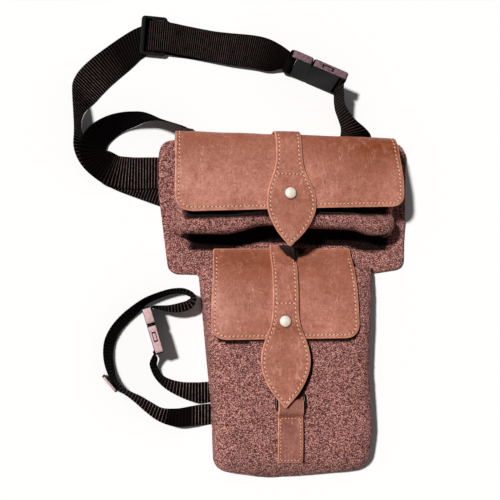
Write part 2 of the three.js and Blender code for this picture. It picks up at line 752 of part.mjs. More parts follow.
// A closed wire round a rounded rectangle, lying in its own XY plane.
function wireRing({ wide, long, corner }, wire) {
  const [w, l] = [wide / 2, long / 2];
  const corners = [
    { x: w, y: -l, round: corner },
    { x: w, y: l, round: corner },
    { x: -w, y: l, round: corner },
    { x: -w, y: -l, round: corner },
  ];
  const line = roundedOutline(corners).slice(0, -1);
  const sides = 8;
  const places = [];
  const faces = [];
  line.forEach((p, i) => {
    const before = line[(i + line.length - 1) % line.length];
    const after = line[(i + 1) % line.length];
    const run = new THREE.Vector2().subVectors(after, before).normalize();
    for (let k = 0; k < sides; k++) {
      const turn = (2 * Math.PI * k) / sides;
      const out = (wire / 2) * Math.cos(turn);
      places.push(p.x + run.y * out, p.y - run.x * out, (wire / 2) * Math.sin(turn));
      const next = ((i + 1) % line.length) * sides;
      const [a, b] = [i * sides + k, i * sides + ((k + 1) % sides)];
      const [c, d] = [next + ((k + 1) % sides), next + k];
      faces.push(a, b, c, a, c, d);
    }
  });
  const geometry = new THREE.BufferGeometry();
  geometry.setAttribute("position", new THREE.Float32BufferAttribute(places, 3));
  geometry.setIndex(faces);
  return facingOut(geometry);
}

function keeperRing() {
  const barAt = { y: -99.4, z: 27 + gap + 3.25 };
  const ring = wireRing(ringSize, ringWire).translate(0, ringSize.long / 2, 0);
  return ring.rotateX(-0.1).translate(keeperMiddle + 0.1, barAt.y, barAt.z);
}

// ---- Webbing ----
function strap(rows, width, stepsPerRow = 4) {
  const rad = THREE.MathUtils.degToRad;
  const half = width / 2;
  const height = (r) => {
    const stand = Math.abs(Math.sin(rad(r.lean)));
    return r.raise + half * stand + (webThick / 2) * Math.abs(Math.cos(rad(r.lean)));
  };
  const curve = new THREE.CatmullRomCurve3(
    rows.map((r) => new THREE.Vector3(r.x, r.y, height(r))),
    false,
    "centripetal",
  );
  const turns = new THREE.CatmullRomCurve3(
    rows.map((r) => new THREE.Vector3(r.across, r.lean, r.raise)),
    false,
    "centripetal",
  );
  const count = (rows.length - 1) * stepsPerRow;
  const sections = [];
  for (let i = 0; i <= count; i++) {
    const at = curve.getPoint(i / count);
    const run = curve.getTangent(i / count);
    const turn = turns.getPoint(i / count);
    const flat = Math.cos(rad(turn.y));
    const up = Math.sin(rad(turn.y));
    const across = new THREE.Vector3(Math.cos(rad(turn.x)) * flat, Math.sin(rad(turn.x)) * flat, up);
    const face = new THREE.Vector3().crossVectors(run, across).normalize();
    const corner = (side, over) =>
      at.clone().addScaledVector(across, side * half).addScaledVector(face, (over * webThick) / 2);
    const section = { above: [corner(-1, 1), corner(1, 1)], below: [corner(-1, -1), corner(1, -1)] };
    [...section.above, ...section.below].forEach((p) => (p.z = Math.max(p.z, 0)));
    sections.push(section);
  }
  return loft(sections);
}

// ---- Hard fittings, each in its own frame: X along the strap, Y across it, Z through it ----
function slide(webWidth, thick) {
  const wide = webWidth + 8;
  const long = webWidth * 0.5 + 10;
  const bar = 4.2;
  const slotLong = (long - 3 * bar) / 2;
  const slots = [-1, 1].map((side) =>
    block(slotLong, webWidth + 2.4, thick * 2, side * (bar + slotLong) * 0.5, 0, 0),
  );
  return cutFrom(roundedBlock(long, wide, thick, 4), ...slots);
}

// The female half: a flat case open at its left, with a finger window in each long edge.
function buckleCase({ wide, thick, long, webWidth }) {
  const caseLong = 0.62 * long;
  const middle = (long - caseLong) / 2;
  const left = middle - caseLong / 2;
  const cavityLong = 0.44 * long;
  const cavity = block(cavityLong, wide - 6, thick - 4, left + cavityLong / 2 - 0.5, 0, 0);
  const windows = [-1, 1].map((side) =>
    block(0.2 * long, 8, thick - 4, left + 0.26 * long, (side * wide) / 2, 0),
  );
  const slot = block(4.4, webWidth + 1, thick * 2, long / 2 - 5.2, 0, 0);
  return cutFrom(roundedBlock(caseLong, wide, thick, 4, middle), cavity, slot, ...windows);
}

// The male half: a plate with a webbing slot, a middle guide and two lugs that fill the windows.
function bucklePlug({ wide, thick, long, webWidth }) {
  const plateLong = 0.38 * long - gap;
  const middle = -long / 2 + plateLong / 2;
  const right = -long / 2 + plateLong;
  const reach = 0.36 * long;
  const guide = block(reach + 1, wide * 0.16, thick - 5, right + reach / 2 - 0.5, 0, 0);
  const arms = [-1, 1].map((side) =>
    block(reach + 1, 3, thick - 5, right + reach / 2 - 0.5, side * (wide / 2 - 5.4), 0),
  );
  const lugs = [-1, 1].map((side) =>
    block(0.15 * long, 3.6, thick - 5, right + 0.26 * long + gap, side * (wide / 2 - 2.6), 0),
  );
  const body = cutFrom(
    roundedBlock(plateLong, wide, thick, 4, middle),
    block(4.4, webWidth + 1, thick * 2, -long / 2 + 5.2, 0, 0),
  );
  return joined(body, guide, ...arms, ...lugs);
}

function seated(mesh, at) {
  const rad = THREE.MathUtils.degToRad;
  const run = new THREE.Vector3(Math.cos(rad(at.run)), Math.sin(rad(at.run)), 0);
  const flat = Math.cos(rad(at.lean));
  const across = new THREE.Vector3(
    Math.cos(rad(at.across)) * flat,
    Math.sin(rad(at.across)) * flat,
    Math.sin(rad(at.lean)),
  );
  const face = new THREE.Vector3().crossVectors(run, across).normalize();
  mesh.setRotationFromMatrix(new THREE.Matrix4().makeBasis(run, across, face));
  mesh.position.set(at.x, at.y, at.z);
}

const beltBuckle = { wide: 37, thick: 8, long: 60, webWidth: beltWidth };
const legBuckle = { wide: 28, thick: 7.6, long: 46, webWidth: legWidth };

add("back_panel", backPanel(), felt);
add("upper_pocket", upperPocket(), felt);
add("lower_pocket", lowerPocket(), felt);
add("upper_flap", upperFlap(), leather);
add("lower_flap", lowerFlap(), leather);
add("upper_tongue", upperTongue(), leather);
add("lower_tongue", lowerTongue(), leather);
add("upper_snap", snap(upperSnapAt, 5.3), snapMetal);
add("lower_snap", snap(lowerSnapAt, 6.7), snapMetal);
add("ring_keeper", ringKeeper(), leather);
add("keeper_ring", keeperRing(), ringMetal);
add("belt_long", strap(beltLongRows, beltWidth), webbing);
add("belt_end", strap(beltEndRows, beltWidth), webbing);
add("belt_bend", strap(beltBendRows, beltWidth), webbing);
add("belt_right", strap(beltRightRows, beltWidth), webbing);
add("leg_strap_long", strap(legLongRows, legWidth), webbing);
add("leg_strap_short", strap(legShortRows, legWidth), webbing);
seated(add("belt_slide", slide(beltWidth, 2.5), plastic), beltSlideAt);
seated(add("belt_buckle_case", buckleCase(beltBuckle), plastic), beltBuckleAt);
seated(add("belt_buckle_plug", bucklePlug(beltBuckle), plastic), beltBuckleAt);
seated(add("leg_buckle_case", buckleCase(legBuckle), plastic), legBuckleAt);
seated(add("leg_buckle_plug", bucklePlug(legBuckle), plastic), legBuckleAt);
seated(add("leg_slide", slide(legWidth, 2.2), plastic), legSlideAt);

export default bag;
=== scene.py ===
import bmesh
import bpy
import math
import random
import numpy as np
from mathutils import Matrix, Vector, noise
from mathutils.geometry import delaunay_2d_cdt


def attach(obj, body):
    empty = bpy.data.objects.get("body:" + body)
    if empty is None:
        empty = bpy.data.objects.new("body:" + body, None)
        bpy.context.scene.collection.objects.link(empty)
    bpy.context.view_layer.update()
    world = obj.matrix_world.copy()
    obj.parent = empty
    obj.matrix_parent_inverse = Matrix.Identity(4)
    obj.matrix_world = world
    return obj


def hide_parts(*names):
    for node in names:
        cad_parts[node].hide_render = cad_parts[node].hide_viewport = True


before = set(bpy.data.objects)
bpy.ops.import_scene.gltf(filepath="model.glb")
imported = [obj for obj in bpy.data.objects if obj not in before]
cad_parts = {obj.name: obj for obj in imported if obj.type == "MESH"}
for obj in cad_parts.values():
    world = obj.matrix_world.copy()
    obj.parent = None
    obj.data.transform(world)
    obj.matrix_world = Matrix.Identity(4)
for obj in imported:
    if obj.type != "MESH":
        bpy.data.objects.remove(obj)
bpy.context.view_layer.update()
mm = 0.001  # shapes are in millimetres; sheet sizes, stage and view are in metres
random.seed(7)
print("frame loaded")


def hermite(u, step, start, end, leaving, arriving):
    # from start to end as u goes from 0 to 1, with the slopes it leaves and arrives with
    return ((2 * u**3 - 3 * u**2 + 1) * start + (u**3 - 2 * u**2 + u) * step * leaving
            + (3 * u**2 - 2 * u**3) * end + (u**3 - u**2) * step * arriving)


def curveAt(at, rows):
    # a smooth curve through a table of two columns, never overshooting its rows
    keys, values = np.array(sorted(rows), float).T
    at = np.clip(np.asarray(at, float), keys[0], keys[-1])
    steps = np.diff(keys)
    slopes = np.diff(values) / steps
    tangents = np.zeros(len(keys))
    tangents[0], tangents[-1] = slopes[0], slopes[-1]
    before, after = slopes[:-1], slopes[1:]
    same = before * after > 0
    tangents[1:-1][same] = 2 * before[same] * after[same] / (before[same] + after[same])
    i = np.clip(np.searchsorted(keys, at, side="right") - 1, 0, len(steps) - 1)
    u = (at - keys[i]) / steps[i]
    return hermite(u, steps[i], values[i], values[i + 1], tangents[i], tangents[i + 1])


def smooth(t):
    t = np.clip(t, 0, 1)
    return t * t * (3 - 2 * t)


def bell(value, middle, width):
    return np.exp(-(((value - middle) / width) ** 2))


def alongLine(points):
    # the distance run at each point of a line
    return np.concatenate([[0], np.cumsum(np.linalg.norm(np.diff(points, axis=0), axis=1))])


def atEach(s, run, points):
    # the points of a line at the distances s
    return np.stack([np.interp(s, run, points[:, c]) for c in range(points.shape[1])], axis=-1)


def spline(rows, step):
    # evenly spaced points on a curve through rows; the first three numbers of a row are its place
    points = np.array(rows, float)
    gaps = np.sqrt(np.linalg.norm(np.diff(points[:, :3], axis=0), axis=1))
    knots = np.concatenate([[0], np.cumsum(gaps)])
    slopes = np.diff(points, axis=0) / gaps[:, None]
    before, after = gaps[:-1, None], gaps[1:, None]
    tangents = np.empty_like(points)
    tangents[0], tangents[-1] = slopes[0], slopes[-1]
    tangents[1:-1] = (slopes[:-1] * after + slopes[1:] * before) / (after + before)
    t = np.linspace(0, knots[-1], 50 * len(gaps) + 1)
    i = np.clip(np.searchsorted(knots, t, side="right") - 1, 0, len(gaps) - 1)
    u = ((t - knots[i]) / gaps[i])[:, None]
    dense = hermite(u, gaps[i][:, None], points[i], points[i + 1], tangents[i], tangents[i + 1])
    run = alongLine(dense[:, :3])
    s = np.linspace(0, run[-1], max(3, int(round(run[-1] / step)) + 1))
    return atEach(s, run, dense), s


def evenLoop(points, step):
    loop = np.vstack([points, points[:1]])
    run = alongLine(loop)
    keep = np.concatenate([[True], np.diff(run) > 1e-9])
    s = np.linspace(0, run[-1], max(12, int(run[-1] / step)) + 1)[:-1]
    return atEach(s, run[keep], loop[keep])


def roundedOutline(corners, step):
    # a closed outline from corners of x, y and round, as evenly spaced points
    points = []
    for i, (x, y, radius) in enumerate(corners):
        here = np.array([x, y], float)
        before = np.array(corners[i - 1][:2], float) - here
        after = np.array(corners[(i + 1) % len(corners)][:2], float) - here
        sideBefore, sideAfter = np.linalg.norm(before), np.linalg.norm(after)
        turn = math.pi - math.acos(np.clip(before @ after / (sideBefore * sideAfter), -1, 1))
        cut = min(radius * math.tan(turn / 2), 0.48 * min(sideBefore, sideAfter))
        start, end = here + before / sideBefore * cut, here + after / sideAfter * cut
        for t in np.linspace(0, 1, 13):
            points.append((1 - t) ** 2 * start + 2 * t * (1 - t) * here + t * t * end)
    return evenLoop(np.array(points), step)


def signedArea(loop):
    after = np.roll(loop, -1, axis=0)
    return 0.5 * np.sum(loop[:, 0] * after[:, 1] - loop[:, 1] * after[:, 0])


def anticlockwise(loop):
    return loop if signedArea(loop) > 0 else loop[::-1]


def inset(loop, distance):
    # an anticlockwise loop moved inwards
    run = np.roll(loop, -1, axis=0) - np.roll(loop, 1, axis=0)
    run /= np.linalg.norm(run, axis=1)[:, None]
    return loop + distance * np.stack([-run[:, 1], run[:, 0]], axis=1)


def edgeDistance(points, loop):
    sides = np.roll(loop, -1, axis=0) - loop
    best = np.full(len(points), 1e9)
    for start, side in zip(loop, sides):
        share = np.clip(((points - start) @ side) / (side @ side), 0, 1)
        best = np.minimum(best, np.hypot(*(points - start - share[:, None] * side).T))
    return best


def insideLoop(points, loop):
    x, y = points[:, 0], points[:, 1]
    inside = np.zeros(len(points), bool)
    for (x0, y0), (x1, y1) in zip(loop, np.roll(loop, -1, axis=0)):
        if y0 != y1:
            inside ^= ((y0 > y) != (y1 > y)) & (x < (x1 - x0) * (y - y0) / (y1 - y0) + x0)
    return inside


def spanAt(loop, y):
    # left and right of an outline at each height
    after = np.roll(loop, -1, axis=0)
    spans = []
    for level in np.atleast_1d(y):
        hit = (loop[:, 1] > level) != (after[:, 1] > level)
        start, end = loop[hit], after[hit]
        x = start[:, 0] + (end[:, 0] - start[:, 0]) * (level - start[:, 1]) / (end[:, 1] - start[:, 1])
        spans.append((x.min(), x.max()))
    return np.array(spans).T


def grain(points, size, seed=0):
    # smooth noise from -1 to 1 with features about size apart
    shift = Vector((seed * 17.3, seed * 5.1, seed * 9.7))
    return np.array([noise.noise(Vector(p) / size + shift) for p in points])


def flatGrain(flat, size, seed):
    return grain(np.column_stack([flat, np.zeros(len(flat))]), size, seed)


def pieceName(node):
    # belt_long becomes beltLong
    first, *others = node.split("_")
    return first + "".join(word.capitalize() for word in others)


def placed(name, data):
    obj = bpy.data.objects.new(name, data)
    bpy.context.scene.collection.objects.link(obj)
    return obj


def newObject(name, verts, faces, materials):
    mesh = bpy.data.meshes.new(name)
    mesh.from_pydata([tuple(v) for v in np.asarray(verts) * mm], [], faces)
    mesh.validate()
    for material in materials:
        mesh.materials.append(material)
    mesh.polygons.foreach_set("use_smooth", [True] * len(mesh.polygons))
    return placed(name, mesh)


def facingOut(obj):
    shape = bmesh.new()
    shape.from_mesh(obj.data)
    bmesh.ops.recalc_face_normals(shape, faces=shape.faces)
    shape.to_mesh(obj.data)
    shape.free()


def pointValues(obj, name, values):
    layer = obj.data.attributes.new(name, "FLOAT", "POINT")
    layer.data.foreach_set("value", np.asarray(values, float))


def placesOf(obj):
    places = np.empty(3 * len(obj.data.vertices))
    obj.data.vertices.foreach_get("co", places)
    return places.reshape(-1, 3) / mm


def settle(obj, slot, *nodes):
    facingOut(obj)
    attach(obj, "root")
    if nodes:
        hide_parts(*nodes)


def cutSheet(name, outline, place, thick, material, spacing=2.0, rings=(0.25, 0.7), seam=None, soft=0.6,
             values=None):
    # a sheet cut to a flat outline and laid by place(flat points) -> (middle, normal);
    # its thickness falls to the share soft at the edge, over two rings of points
    loop = anticlockwise(outline)
    depths = list(rings)
    if seam:
        depths += [seam - 0.7, seam, seam + 0.7]
    flat = [loop]
    for depth in depths:
        ring = inset(loop, depth)
        ring = ring[insideLoop(ring, loop)]
        flat.append(ring[edgeDistance(ring, loop) > 0.8 * depth])
    low, high = loop.min(0), loop.max(0)
    grid = np.array([(x + (spacing / 2 if row % 2 else 0), y)
                     for row, y in enumerate(np.arange(low[1], high[1], spacing * 0.866))
                     for x in np.arange(low[0], high[0], spacing)])
    grid = grid[insideLoop(grid, loop)]
    flat.append(grid[edgeDistance(grid, loop) > depths[-1] + 0.6 * spacing])
    sides = len(loop)
    edges = [(i, (i + 1) % sides) for i in range(sides)]
    corners = [Vector(p) for p in np.vstack(flat)]
    points, _, triangles, sources, *_ = delaunay_2d_cdt(corners, edges, [], 1, 1e-5)
    flat = np.array([tuple(p) for p in points])
    triangles = [tuple(t) for t in triangles]
    newIndex = {old: new for new, olds in enumerate(sources) for old in olds}
    rim = [newIndex[i] for i in range(sides)]
    depth = edgeDistance(flat, loop)
    half = np.interp(depth, [0, *rings], [soft, 0.5 + 0.5 * soft, 1]) * thick / 2
    top = half - (0.3 * bell(depth, seam, 0.6) if seam else 0)
    middle, normal = place(flat)
    verts = np.vstack([middle + normal * top[:, None], middle - normal * half[:, None]])
    count = len(flat)
    faces = triangles + [tuple(count + k for k in reversed(t)) for t in triangles]
    faces += [(rim[i], count + rim[i], count + rim[k], rim[k]) for i, k in edges]
    obj = newObject(name, verts, faces, [material])
    pointValues(obj, "edge", np.concatenate([depth, np.where(depth > 0.3, depth, 0)]))
    if values is not None:
        pointValues(obj, "fold", np.tile(values(flat), 2))
    return obj


def circle(sides):
    return [(math.cos(2 * math.pi * k / sides), math.sin(2 * math.pi * k / sides)) for k in range(sides)]


def ringFaces(rings, sides, closed=False):
    # faces from ring to ring of points, with a lid on both ends unless the last ring meets the first
    faces = []
    for i in range(rings if closed else rings - 1):
        start, beyond = i * sides, (i + 1) % rings * sides
        for k in range(sides):
            beside = (k + 1) % sides
            faces.append((start + k, start + beside, beyond + beside, beyond + k))
    if not closed:
        faces += [tuple(range(sides))[::-1], tuple(range((rings - 1) * sides, rings * sides))]
    return faces


def ellipsoid(sides=8, rows=5):
    verts, faces = [(0, 0, 1)], []
    for row in range(1, rows):
        lean = math.pi * row / rows
        verts += [(math.sin(lean) * x, math.sin(lean) * y, math.cos(lean)) for x, y in circle(sides)]
    verts.append((0, 0, -1))
    last = 1 + (rows - 2) * sides
    for k in range(sides):
        beside = (k + 1) % sides
        faces.append((0, 1 + k, 1 + beside))
        for start in range(1, last, sides):
            faces.append((start + k, start + k + sides, start + beside + sides, start + beside))
        faces.append((last + k, len(verts) - 1, last + beside))
    return np.array(verts), faces


stitch = {"reach": 0.41, "twist": 13, "slack": 5, "stray": 0.06, "threadUp": 0.12, "holeUp": 0.06,
          "hole": (0.66, 0.58, 0.14)}


def stitches(name, runs, place, lift, pitch=3.9, thread=0.5):
    # runs are flat lines; each stitch is a short thread that reaches a dark disc at both ends, painted shade
    # standing in for the stitch hole
    blob, blobFaces = ellipsoid()
    verts, faces, marks = [], [], []
    for run in runs:
        length = alongLine(run)
        count = max(1, int(round(length[-1] / pitch)))
        own = length[-1] / count
        spots = []
        for i in range(count):
            spots += [(own * (i + 0.5), True), (own * i, False)]
        for s, isThread in spots + [(own * count, False)]:
            middle, normal = place(atEach(s + np.array([-0.4, 0.4]), length, run))
            along, up = middle[1] - middle[0], normal.mean(0)
            if np.linalg.norm(along) < 1e-6:
                continue
            along, up = along / np.linalg.norm(along), up / np.linalg.norm(up)
            across = np.cross(up, along)
            turn = math.radians(stitch["twist"] + random.uniform(-1, 1) * stitch["slack"]) if isThread else 0
            along, across = (along * math.cos(turn) + across * math.sin(turn),
                             across * math.cos(turn) - along * math.sin(turn))
            size = (own * stitch["reach"], thread, thread * 0.85) if isThread else stitch["hole"]
            raised = lift + stitch["threadUp" if isThread else "holeUp"]
            spot = middle.mean(0) + up * raised + across * random.uniform(-1, 1) * stitch["stray"]
            base = len(verts)
            verts += list(spot + blob * size @ np.array([along, across, up]))
            faces += [tuple(base + k for k in face) for face in blobFaces]
            marks += [0 if isThread else 1] * len(blobFaces)
    obj = newObject(name, verts, faces, [threadMaterial, holeMaterial])
    obj.data.polygons.foreach_set("material_index", marks)
    settle(obj, "leather")


def shaded(name, roughness, metallic=0.0, sheen=0.0, specular=0.5):
    material = bpy.data.materials.new(name)
    material.use_nodes = True
    shader = material.node_tree.nodes["Principled BSDF"]
    shader.inputs["Roughness"].default_value = roughness
    shader.inputs["Metallic"].default_value = metallic
    shader.inputs["Sheen Weight"].default_value = sheen
    shader.inputs["Specular IOR Level"].default_value = specular
    return material, material.node_tree, shader


def feed(socket, value):
    if isinstance(value, (int, float, tuple)):
        socket.default_value = value
    else:
        socket.id_data.links.new(value, socket)


def added(tree, kind, output, inputs, **settings):
    # a new node with its settings and inputs; gives back one of its outputs
    node = tree.nodes.new("ShaderNode" + kind)
    for name, value in settings.items():
        setattr(node, name, value)
    for name, value in inputs.items():
        feed(node.inputs[name], value)
    return node.outputs[output]


def maths(operation, a, b=0.0):
    return added(a.id_data, "Math", 0, {0: a, 1: b}, operation=operation)


def weighted(*parts):
    # the sum of value times weight
    shares = [maths("MULTIPLY", value, weight) for value, weight in parts]
    total = shares[0]
    for share in shares[1:]:
        total = maths("ADD", total, share)
    return total


def product(first, *others):
    for other in others:
        first = maths("MULTIPLY", first, other)
    return first


def speckled(tree, scale, detail=3.0, rough=0.55, distortion=0.0, stretch=None, turn=0.0):
    # noise over the object's own coordinates, scale features to the metre
    places = added(tree, "TexCoord", "Object", {})
    if stretch:
        mapped = {"Vector": places, "Scale": stretch, "Rotation": (0, 0, turn)}
        places = added(tree, "Mapping", "Vector", mapped)
    return added(tree, "TexNoise", "Fac", {"Vector": places, "Scale": scale, "Detail": detail,
                                           "Roughness": rough, "Distortion": distortion})


def seen(r, g, b):
    # a colour as seen on screen, 0 to 255, in the renderer's own numbers
    return *(((c / 255 + 0.055) / 1.055) ** 2.4 if c > 10 else c / 255 / 12.92 for c in (r, g, b)), 1


def ramp(factor, stops):
    node = factor.id_data.nodes.new("ShaderNodeValToRGB")
    points = node.color_ramp.elements
    for i, (at, colour) in enumerate(stops):
        point = points[i] if i < 2 else points.new(at)
        point.position = at
        point.color = seen(*colour)
    feed(node.inputs["Fac"], factor)
    return node.outputs["Color"]


def mixColour(factor, a, b):
    node = factor.id_data.nodes.new("ShaderNodeMix")
    node.data_type = "RGBA"
    for name, kind, value in (("Factor", "VALUE", factor), ("A", "RGBA", a), ("B", "RGBA", b)):
        socket = next(s for s in node.inputs if s.name == name and s.type == kind)
        feed(socket, seen(*value) if isinstance(value, tuple) else value)
    return next(s for s in node.outputs if s.type == "RGBA")


def dress(shader, colour, height, strength, distance):
    # gives the shader its colour and its fine relief
    feed(shader.inputs["Base Color"], colour)
    relief = {"Strength": strength, "Distance": distance, "Height": height}
    feed(shader.inputs["Normal"], added(shader.id_data, "Bump", "Normal", relief))


def pointValue(tree, name):
    return added(tree, "Attribute", "Fac", {}, attribute_name=name)


def mapRange(value, fromLow, fromHigh, toLow=0.0, toHigh=1.0):
    return added(value.id_data, "MapRange", "Result", {
        "Value": value, "From Min": fromLow, "From Max": fromHigh, "To Min": toLow, "To Max": toHigh},
        interpolation_type="SMOOTHSTEP")


# dark, mid and light are the felt's own flecks; the near-black colour is painted shade
feltLook = {"dark": (54, 27, 30), "mid": (114, 68, 64), "light": (216, 157, 144), "shade": (7, 3, 3),
            "curl": 1000, "patch": 260}


def makeFelt():
    material, tree, shader = shaded("heatheredFelt", 0.95, sheen=0.03, specular=0.03)
    curls = speckled(tree, feltLook["curl"], 2, 0.55, 0.5)
    hairs = speckled(tree, feltLook["curl"] * 0.8, 2, 0.6, 0.8, stretch=(1, 1.7, 1), turn=0.7)
    patches = speckled(tree, feltLook["patch"], 2, 0.5, 0.3)
    blend = weighted((curls, 0.5), (hairs, 0.38), (patches, 0.12))
    colour = ramp(blend, [(0.43, feltLook["dark"]), (0.575, feltLook["light"]), (0.5, feltLook["mid"])])
    # painted shade: the felt goes towards near black wherever the point value for painted shade is set
    colour = mixColour(pointValue(tree, "shade"), colour, feltLook["shade"])
    dress(shader, colour, blend, 0.8, 0.0010)
    return material


# body, pale and deep are the leather's own tones, edge its pale cut edge, scratch its pale scratches; the
# browner dark tone over bends is partly painted shade, and the near-black colour is painted shadow
leatherLook = {"body": (176, 111, 93), "pale": (208, 144, 124), "deep": (134, 74, 56), "fold": (120, 54, 16),
               "edge": (216, 150, 120), "scratch": (232, 178, 156), "shade": (9, 4, 3)}
leatherGrain = {"clouds": 24, "mottle": 130, "blotch": 330, "nap": 760, "pores": 1100}  # to the metre
scratches = [  # each layer's turn, scale and width
    (0.5, 46, 0.005), (2.0, 60, 0.005), (1.2, 84, 0.006), (2.7, 120, 0.008), (0.9, 150, 0.009)]


def makeLeather(name, look):
    material, tree, shader = shaded(name, 0.55, specular=0.3)
    clouds = speckled(tree, leatherGrain["clouds"], 4, 0.55)
    mottle = speckled(tree, leatherGrain["mottle"], 4, 0.6)
    blotch = speckled(tree, leatherGrain["blotch"], 3, 0.6)
    nap = speckled(tree, leatherGrain["nap"], 2, 0.6)
    pores = speckled(tree, leatherGrain["pores"], 2, 0.6)
    tone = weighted((clouds, 0.32), (mottle, 0.22), (blotch, 0.22), (nap, 0.24))
    colour = ramp(tone, [(0.37, look["deep"]), (0.63, look["pale"]), (0.5, look["body"])])
    # a browner, darker tone over bends and creases, partly the leather's own tone and partly painted shade
    darkerAt = product(pointValue(tree, "fold"), mapRange(mottle, 0.25, 0.62, 0.6, 1.0))
    colour = mixColour(darkerAt, colour, look["fold"])
    for turn, scale, width in scratches:  # thin lines where a stretched noise passes its middle
        line = speckled(tree, scale, 2, 0.5, 0.1, stretch=(1, 0.22, 1), turn=turn)
        away = maths("ABSOLUTE", maths("SUBTRACT", line, 0.5))
        broken = mapRange(speckled(tree, 70 + 20 * turn, 2), 0.46, 0.62)
        mask = product(mapRange(away, 0.0, width, 0.36, 0.0), broken)
        colour = mixColour(mask, colour, look["scratch"])
    colour = mixColour(mapRange(pores, 0.36, 0.5, 0.22, 0.0), colour, look["deep"])
    edge = product(mapRange(pointValue(tree, "edge"), 0.25, 1.5, 0.9, 0.0),
                   mapRange(mottle, 0.35, 0.6, 0.45, 1.0))
    colour = mixColour(edge, colour, look["edge"])
    # painted shadow: near black where the upper tongue's tip throws its shadow
    colour = mixColour(pointValue(tree, "shade"), colour, look["shade"])
    feed(shader.inputs["Roughness"], mapRange(mottle, 0.3, 0.7, 0.62, 0.46))
    dress(shader, colour, weighted((pores, 0.5), (mottle, 0.9)), 0.35, 0.0007)
    return material


webbingLook = {"groove": (3, 2, 2), "rib": (26, 15, 13), "worn": (205, 172, 168), "yarn": 1500, "patch": 260}


def makeWebbing():
    material, tree, shader = shaded("ribbedWebbing", 0.85, specular=0.03)
    rib = pointValue(tree, "rib")
    yarn = speckled(tree, webbingLook["yarn"], 2, 0.6)
    patches = speckled(tree, webbingLook["patch"], 2, 0.5)
    # painted highlight and shade: rib crests lighter and grooves near black, following the ribs' point value
    lit = product(mapRange(rib, 0.45, 1.0), mapRange(yarn, 0.3, 0.65, 0.3, 1.0))
    colour = mixColour(lit, webbingLook["groove"], webbingLook["rib"])
    # painted highlight: pale rib crests, as strong as the strap's own table along its length gives
    crest = product(mapRange(rib, 0.78, 1.0), mapRange(yarn, 0.36, 0.58, 0.25, 1.0),
                    mapRange(patches, 0.35, 0.6, 0.55, 1.0), pointValue(tree, "worn"))
    colour = mixColour(crest, colour, webbingLook["worn"])
    dress(shader, colour, yarn, 0.4, 0.0004)
    return material


def makePlastic():
    material, tree, shader = shaded("mouldedPlastic", 0.55, specular=0.1)
    fine = speckled(tree, 900, 2)
    colour = mixColour(mapRange(fine, 0.3, 0.7), (5, 4, 4), (10, 8, 9))
    feed(shader.inputs["Roughness"], mapRange(fine, 0.3, 0.7, 0.5, 0.6))
    dress(shader, colour, fine, 0.12, 0.0002)
    return material


def makePlain(name, colour, second, roughness, metallic, scale):
    material, tree, shader = shaded(name, roughness, metallic)
    mask = mapRange(speckled(tree, scale, 3), 0.35, 0.65)
    dress(shader, mixColour(mask, colour, second), mask, 0.15, 0.0002)
    return material


feltMaterial = makeFelt()
leatherMaterial = makeLeather("pullUpLeather", leatherLook)
keeperMaterial = makeLeather("wornLeather", {**leatherLook, "body": (138, 84, 74), "pale": (170, 112, 100),
                                             "deep": (106, 58, 48)})
webbingMaterial = makeWebbing()
plasticMaterial = makePlastic()
# painted reflections: pale pinkish colours that stand in for the lamp's glare on the buckles' upper faces
brightGlareMaterial = makePlain("paintedBrightGlare", (206, 168, 168), (184, 146, 148), 0.45, 0.0, 420)
dimGlareMaterial = makePlain("paintedDimGlare", (128, 98, 104), (92, 68, 74), 0.45, 0.0, 420)
threadMaterial = makePlain("creamThread", (238, 192, 158), (212, 162, 128), 0.7, 0.0, 900)
# the stitch holes are dark discs: painted shade standing in for the depth of each hole
holeMaterial = makePlain("stitchHole", (30, 12, 8), (18, 8, 6), 0.9, 0.0, 900)
snapMaterial = makePlain("snapNickel", (240, 226, 210), (222, 206, 188), 0.42, 0.15, 500)
snapRimMaterial = makePlain("snapRim", (156, 108, 88), (124, 84, 68), 0.45, 0.3, 500)
ringMaterial = makePlain("blackWire", (24, 22, 24), (40, 36, 38), 0.32, 0.6, 500)
print("materials made")

panel = {
    "thick": 3,
    "corners": [  # x, y, round
        (-130, 165, 17), (123.5, 170, 18), (119.5, 40, 12), (85, 34.5, 5), (79.5, -62, 90), (82.5, -122, 60),
        (78, -158, 20), (-20, -166, 60), (-74, -157, 16), (-76.5, -100, 80), (-89.5, 32, 5),
        (-119, 32.5, 11), (-129.8, 112, 60)],
    "lift": [  # y, height of its back, which rides over the webbing behind it
        (180, 3.6), (104, 3.6), (62, 0), (-62, 0), (-70, 1.8), (-118, 1.8), (-126, 0), (-180, 0)],
}
panelLoop = roundedOutline(panel["corners"], 1.6)


def backOf(y):
    return curveAt(y, panel["lift"])


def faceOf(y):
    return backOf(y) + panel["thick"]


def flatFelt(flat):
    middle = np.column_stack([flat, backOf(flat[:, 1]) + panel["thick"] / 2])
    middle[:, 2] += 0.22 * grain(middle, 3.0, 1)
    return middle, np.tile([0.0, 0.0, 1.0], (len(flat), 1))


backPanel = cutSheet("backPanel", panelLoop, flatFelt, panel["thick"], feltMaterial, spacing=2.4,
                     rings=(0.5, 1.3), soft=0.5)
settle(backPanel, "felt", "back_panel")


